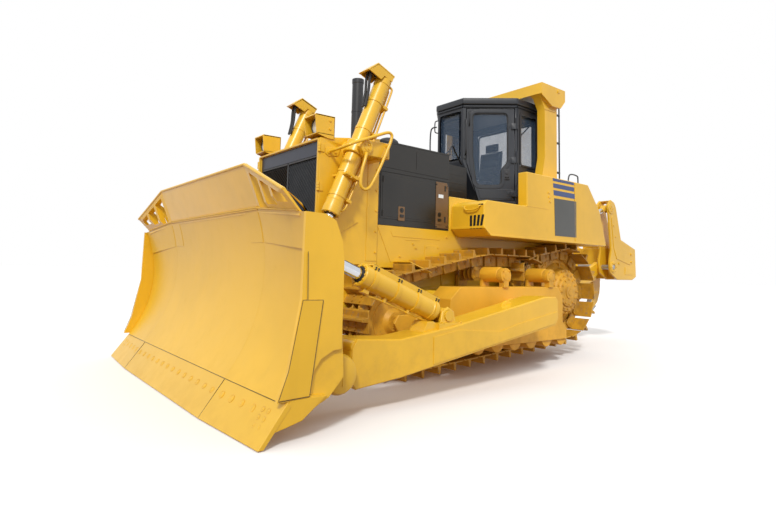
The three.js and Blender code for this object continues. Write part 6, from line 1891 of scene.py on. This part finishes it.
def build_ripper(context):
    softened("ripper_arm", "yellow", 0.01)
    softened("ripper_beam", "yellow", 0.01, flat=0.0)
    out = OUTWARD
    beam_pin, top_pin, lift_eye = (-2.0, 1.35), (-1.95, 2.4), (-1.747, 1.262)

    pin = Shape()
    reach = 0.652
    pin.turned([(0.0, 0.0), (0.0, 0.04), (0.006, 0.0445), (2 * reach - 0.006, 0.0445), (2 * reach, 0.04),
        (2 * reach, 0.0)], at(beam_pin[0], -reach, beam_pin[1]), at(beam_pin[0], 0, beam_pin[1]), 36)
    piece("ripper_beam_pin", pin, "steel", "ripper_pin", "edge_steel", ["ripper_pin"])

    def arm(shape):
        # bosses on both pins, a cover plate on the arm and welds at its cross tube
        for y, flank in ((0.38, 1), (0.3, -1)):
            shape.turned([(0.0, 0.05), (0.0, 0.094), (0.012, 0.09), (0.015, 0.072), (0.015, 0.05)],
                across(beam_pin, y), across(beam_pin, y + flank), 32, closed=True)
        shape.plate([(-1.02, 0.955), (-1.06, 1.065), (-1.66, 1.255), (-1.7, 1.115), (-1.6, 1.08)], 0.379,
            0.386, 0.004)
        shape.weld([at(-1.6, 0.298, 1.045), at(-1.86, 0.298, 1.12)], 0.008)
        for y in (0.18, 0.08):
            shape.bolt(across(lift_eye, y) + Vector((-0.12, 0, -0.1)), (0, 0, 1), 0.012)

    paired("ripper_arm_trim", arm, "yellow", "ripper_arm", "yellow_paint")

    def beam(shape):
        # bosses round the pins, doublers, bolts on the rear face, and the pin-puller's box
        outer = 0.64
        for place, radius in ((beam_pin, 0.105), (top_pin, 0.098)):
            inner_radius = 0.052 if place is beam_pin else 0.0
            ring = [(0.0, inner_radius), (0.0, radius), (0.01, radius - 0.004), (0.014, radius - 0.03),
                (0.014, inner_radius)]
            shape.turned(ring, across(place, outer), across(place, outer + 1), 36, closed=place is beam_pin)
        shape.bolt_ring(across(beam_pin, outer + 0.012), out, 0.078, 6, 0.01)
        shape.bolt_ring(across(top_pin, outer + 0.012), out, 0.04, 4, 0.011)
        shape.plate([(-2.02, 2.26), (-1.955, 2.24), (-2.02, 1.7), (-2.12, 1.5), (-2.62, 1.4), (-2.62, 1.6),
            (-2.36, 1.7), (-2.22, 1.88)], outer - 0.003, outer + 0.009, 0.005)
        shape.plate([(-2.7, 1.22), (-2.7, 1.34), (-2.42, 1.36), (-2.42, 1.22)], outer - 0.003, outer + 0.007,
            0.004)
        for x, z in ((-2.66, 1.6), (-2.66, 1.46), (-2.2, 1.42), (-2.08, 1.9), (-2.02, 2.1)):
            shape.bolt(at(x, outer + 0.001, z), out, 0.017)
        shape.weld([at(-2.832, 0.606, 1.7), at(-2.21, 0.606, 1.703)], 0.009)
        shape.weld([at(-2.832, 0.606, 1.2), at(-2.832, 0.606, 1.69)], 0.009)
        shape.block(at(-2.52, 0.052, 1.698), at(-2.36, 0.16, 1.76), 0.01)
        for z in (1.28, 1.45, 1.62):
            shape.bolt(at(-2.826, 0.22, z), (-1, 0, 0), 0.017)
            shape.bolt(at(-2.826, 0.5, z), (-1, 0, 0), 0.017)
        # guard plate over the tilt cylinder's hoses
        shape.plate([(-2.07, 2.522), (-1.975, 2.556), (-1.975, 2.541), (-2.07, 2.505)], 0.442, 0.598, 0.003)

    paired("ripper_beam_trim", beam, "yellow", "ripper_beam", "yellow_paint")

    # shank: forged bar with pin holes, guard and a pointed tip
    shank = Shape()
    rear, front, half = -2.62, -2.36, 0.05
    shank.plate([(rear, 2.05), (front, 2.05), (front, 0.94), (front + 0.045, 0.76), (front + 0.15, 0.56),
        (front + 0.08, 0.52), (rear + 0.11, 0.69), (rear + 0.03, 0.85), (rear, 1.0)], -half, half, 0.01)
    for z in (1.82, 1.96):
        for flank in (-1, 1):
            face = flank * half
            shank.turned([(-0.001, 0.045), (0.0015, 0.045), (0.002, 0.036), (-0.001, 0.034)],
                at(-2.49, face, z), at(-2.49, face + flank, z), 24, closed=True)
    piece("ripper_shank_bar", shank, "yellow", "ripper_beam", "yellow_paint", ["ripper_shank"])
    tip = Shape()
    tip.plate([(front + 0.022, 0.8), (front + 0.05, 0.755), (front + 0.19, 0.48), (front + 0.209, 0.431),
        (front + 0.18, 0.436), (front + 0.075, 0.49), (rear + 0.15, 0.61), (front - 0.05, 0.64)], -0.049,
        0.049, 0.008)
    tip.plate([(front - 0.004, 0.96), (front + 0.012, 0.96), (front + 0.06, 0.78), (front + 0.038, 0.78)],
        -0.046, 0.046, 0.004)
    for flank in (-1, 1):
        tip.rod(at(front + 0.035, flank * 0.046, 0.62), at(front + 0.035, flank * 0.0499, 0.62), 0.016, 16,
            0.001)
    piece("ripper_tip", tip, "steel", "ripper_beam", "edge_steel")

    # hoses from the hull to the ripper cylinders: they stay on the hull
    hoses = Shape()
    for y, z in ((0.34, 1.3), (-0.34, 1.3)):
        hoses.pipe([at(-0.69, y, z), at(-0.8, y, z + 0.02), at(-0.86, y * 0.95, z + 0.12),
            at(-0.8, y * 0.8, z + 0.24), at(-0.72, y * 0.7, z + 0.26), at(-0.69, y * 0.7, z + 0.26)], 0.014,
            8)
        for end, height in ((y, z), (y * 0.7, z + 0.26)):
            hoses.rod(at(-0.699, end, height), at(-0.722, end, height), 0.022, 12, 0.002)
    piece("ripper_hoses", hoses, "rubber", "chassis", "stack_black")


# ---------------------------------------------------------------- stage

FLOOR_RADIUS = 90
FLOOR_DROP = 0.004


def camera_matrix(yaw, pitch, roll, place):
    """A camera that looks along yaw and pitch, turned about its own line of sight by roll."""
    yaw, pitch, roll = (math.radians(angle) for angle in (yaw, pitch, roll))
    forward = Vector((math.cos(yaw) * math.cos(pitch), math.sin(yaw) * math.cos(pitch), math.sin(pitch)))
    level = Vector((math.sin(yaw), -math.cos(yaw), 0))
    upward = level.cross(forward)
    right = level * math.cos(roll) + upward * math.sin(roll)
    top = upward * math.cos(roll) - level * math.sin(roll)
    matrix = Matrix((right, top, -forward)).transposed().to_4x4()
    matrix.translation = place
    return matrix


def build_sky(stage):
    """White light from above and brown from below, with plain white for the camera, glass and gloss."""
    world = bpy.data.worlds.new("studio")
    bpy.context.scene.world = world
    world.use_nodes = True
    nodes, links = world.node_tree.nodes, world.node_tree.links

    def light(colour, strength):
        node = nodes.new("ShaderNodeBackground")
        node.inputs["Color"].default_value = (*colour, 1)
        node.inputs["Strength"].default_value = strength
        return node.outputs[0]

    def mixed(factor, first, second):
        node = nodes.new("ShaderNodeMixShader")
        links.new(factor, node.inputs[0])
        links.new(first, node.inputs[1])
        links.new(second, node.inputs[2])
        return node.outputs[0]

    sky_white, ground_brown = (1.0, 0.99, 0.97), (0.95, 0.58, 0.32)
    place = nodes.new("ShaderNodeTexCoord")
    height = nodes.new("ShaderNodeSeparateXYZ")
    links.new(place.outputs["Generated"], height.inputs[0])
    rise = nodes.new("ShaderNodeMapRange")
    rise.interpolation_type = "SMOOTHSTEP"
    rise.inputs["From Min"].default_value = -0.25
    rise.inputs["From Max"].default_value = 0.3
    links.new(height.outputs["Z"], rise.inputs["Value"])
    lit = mixed(rise.outputs["Result"], light(ground_brown, stage.ground), light(sky_white, stage.fill))
    path = nodes.new("ShaderNodeLightPath")
    seen = path.outputs["Is Camera Ray"]
    for ray in ("Is Transmission Ray", "Is Glossy Ray"):
        either = nodes.new("ShaderNodeMath")
        either.operation = "MAXIMUM"
        links.new(seen, either.inputs[0])
        links.new(path.outputs[ray], either.inputs[1])
        seen = either.outputs[0]
    white = light((1, 1, 1), 1.0)
    links.new(mixed(seen, lit, white), nodes["World Output"].inputs["Surface"])


def build_floor(scene):
    """A pale floor that keeps the shadow. The sky's lower half lights the machine in its place."""
    shape = bmesh.new()
    bmesh.ops.create_circle(shape, cap_ends=True, segments=64, radius=FLOOR_RADIUS)
    bmesh.ops.translate(shape, verts=shape.verts, vec=(0, 0, -FLOOR_DROP))
    mesh = bpy.data.meshes.new("floor")
    shape.to_mesh(mesh)
    shape.free()
    pale = bpy.data.materials.new("pale_floor")
    pale.use_nodes = True
    surface = pale.node_tree.nodes["Principled BSDF"]
    surface.inputs["Base Color"].default_value = (0.84, 0.84, 0.85, 1)
    surface.inputs["Roughness"].default_value = 1.0
    surface.inputs["Specular IOR Level"].default_value = 0.0
    mesh.materials.append(pale)
    floor = bpy.data.objects.new("floor", mesh)
    floor.visible_diffuse = False
    scene.collection.objects.link(floor)


def build_stage(context):
    scene = context.scene
    stage = scene.bulldozer_stage
    scene.view_settings.view_transform = "Standard"
    build_sky(stage)
    build_floor(scene)

    sun = bpy.data.lights.new("key", "SUN")
    sun.energy = stage.key
    sun.angle = math.radians(9)
    sun.color = (1.0, 0.975, 0.93)
    key = bpy.data.objects.new("key", sun)
    scene.collection.objects.link(key)
    key.matrix_world = placed((6, 7, 9), (0.56, 0.54, 0.66))

    lens = bpy.data.cameras.new("camera")
    lens.sensor_width = 36
    lens.lens = 24.34
    lens.shift_x = 0.0119
    lens.shift_y = -0.0549
    lens.clip_end = 200
    camera = bpy.data.objects.new("camera", lens)
    scene.collection.objects.link(camera)
    camera.matrix_world = camera_matrix(yaw=-128.33, pitch=5.62, roll=1.52, place=(5.7865, 5.417, 1.224))
    scene.camera = camera


# ---------------------------------------------------------------- add-on


class BulldozerOperator:
    """What the operators share: each runs its own `build` on the scene."""

    bl_options = {"REGISTER", "UNDO"}

    def execute(self, context):
        type(self).build(context)
        return {"FINISHED"}


def operator(name, label, words, build):
    return type("BULLDOZER_OT_" + name, (BulldozerOperator, bpy.types.Operator),
        {"__doc__": words, "bl_idname": "bulldozer." + name, "bl_label": label, "build": staticmethod(build)})


def build_finishes(context):
    mix_finishes(context.scene.bulldozer_paint)


def build_plain(context):
    finish_for = {"yellow_paint": "yellow", "undercarriage_paint": "under", "edge_steel": "edge",
        "charcoal_panel": "charcoal", "grille_black": "navy", "stack_black": "black", "cab_grey": "slate",
        "cab_glass": "glass", "seat_cloth": "cloth", "chrome_rod": "chrome"}
    for name, node in frame["nodes"].items():
        for i in range(max(1, len(node.material_slots))):
            if not node.material_slots:
                node.data.materials.append(FINISH[finish_for[slot_of(name)]])
            node.material_slots[i].material = FINISH[finish_for[slot_of(name)]]


GROUPS = {"bulldozer_paint": BulldozerPaint, "bulldozer_track": BulldozerTrack,
    "bulldozer_trim": BulldozerTrim, "bulldozer_stage": BulldozerStage}
STEPS = [operator("finishes", "Mix finishes", "Makes the paints, metals, rubber and glass", build_finishes),
    operator("stage", "Stage", "Puts up the sky, the lamp and the camera", build_stage),
    operator("plain", "Plain nodes", "Gives the plain solids their finishes", build_plain),
    operator("tracks", "Tracks", "Makes both tracks from their links and shoes", build_tracks),
    operator("sprockets", "Sprockets", "Makes the sprockets and final drives", build_sprockets),
    operator("idlers", "Idlers", "Makes the front idlers", build_idlers),
    operator("track_frames", "Track frames", "Rounds the track frames and fits their rollers",
    build_track_frames), operator("rams", "Hydraulic cylinders",
    "Makes the cylinders, their rods, guards and lines", build_rams),
    operator("blade", "Blade", "Rounds the edges, skins the moldboard and fits trim and bolts", build_blade),
    operator("arms", "Push arms", "Rounds the push arms and fits their skins", build_arms),
    operator("radiator_guard", "Radiator guard", "Rounds the guard and fits its frame, hinges and rails",
    build_radiator_guard), operator("grille", "Grille", "Makes the louvres and the plain strip above them",
    build_grille), operator("headlamps", "Headlamps", "Makes the lamp boxes and the lamps in them",
    build_headlamps), operator("engine", "Engine", "Makes the covers, hood, exhaust pipe and pre-cleaner",
    build_engine), operator("main_frame", "Hull", "Rounds the hull and fits its plates and bolts",
    build_main_frame), operator("fenders", "Fenders",
    "Rounds fenders, tank and roll-over frame and fits stripes and rails", build_fenders),
    operator("cab", "Cab", "Rounds the cab and fits its window frames and rails", build_cab),
    operator("doors", "Doors", "Rounds the doors and fits frames, straps and handles", build_doors),
    operator("glass", "Glass", "Makes the windows", build_glass),
    operator("interior", "Cab interior", "Makes the floor, consoles, dash and levers", build_interior),
    operator("seat", "Seat", "Makes the seat's cushions and frame", build_seat),
    operator("ripper", "Ripper", "Rounds the ripper and makes its shank and tip", build_ripper),]


class BULLDOZER_PT_panel(bpy.types.Panel):
    """Lists the steps that dress the bulldozer."""

    bl_label = "Bulldozer"
    bl_space_type = "VIEW_3D"
    bl_region_type = "UI"
    bl_category = "Bulldozer"

    def draw(self, context):
        for group in GROUPS:
            settings = getattr(context.scene, group)
            for name in settings.bl_rna.properties.keys():
                if name not in ("rna_type", "name"):
                    self.layout.prop(settings, name)
        for step in STEPS:
            self.layout.operator(step.bl_idname)


def register():
    for kind in (*GROUPS.values(), *STEPS, BULLDOZER_PT_panel):
        bpy.utils.register_class(kind)
    for name, kind in GROUPS.items():
        setattr(bpy.types.Scene, name, PointerProperty(type=kind))


def unregister():
    for name in GROUPS:
        delattr(bpy.types.Scene, name)
    for kind in (BULLDOZER_PT_panel, *reversed(STEPS), *GROUPS.values()):
        bpy.utils.unregister_class(kind)


def main():
    register()
    for step in STEPS:
        getattr(bpy.ops.bulldozer, step.bl_idname.split(".")[1])()


if __name__ == "__main__":
    main()
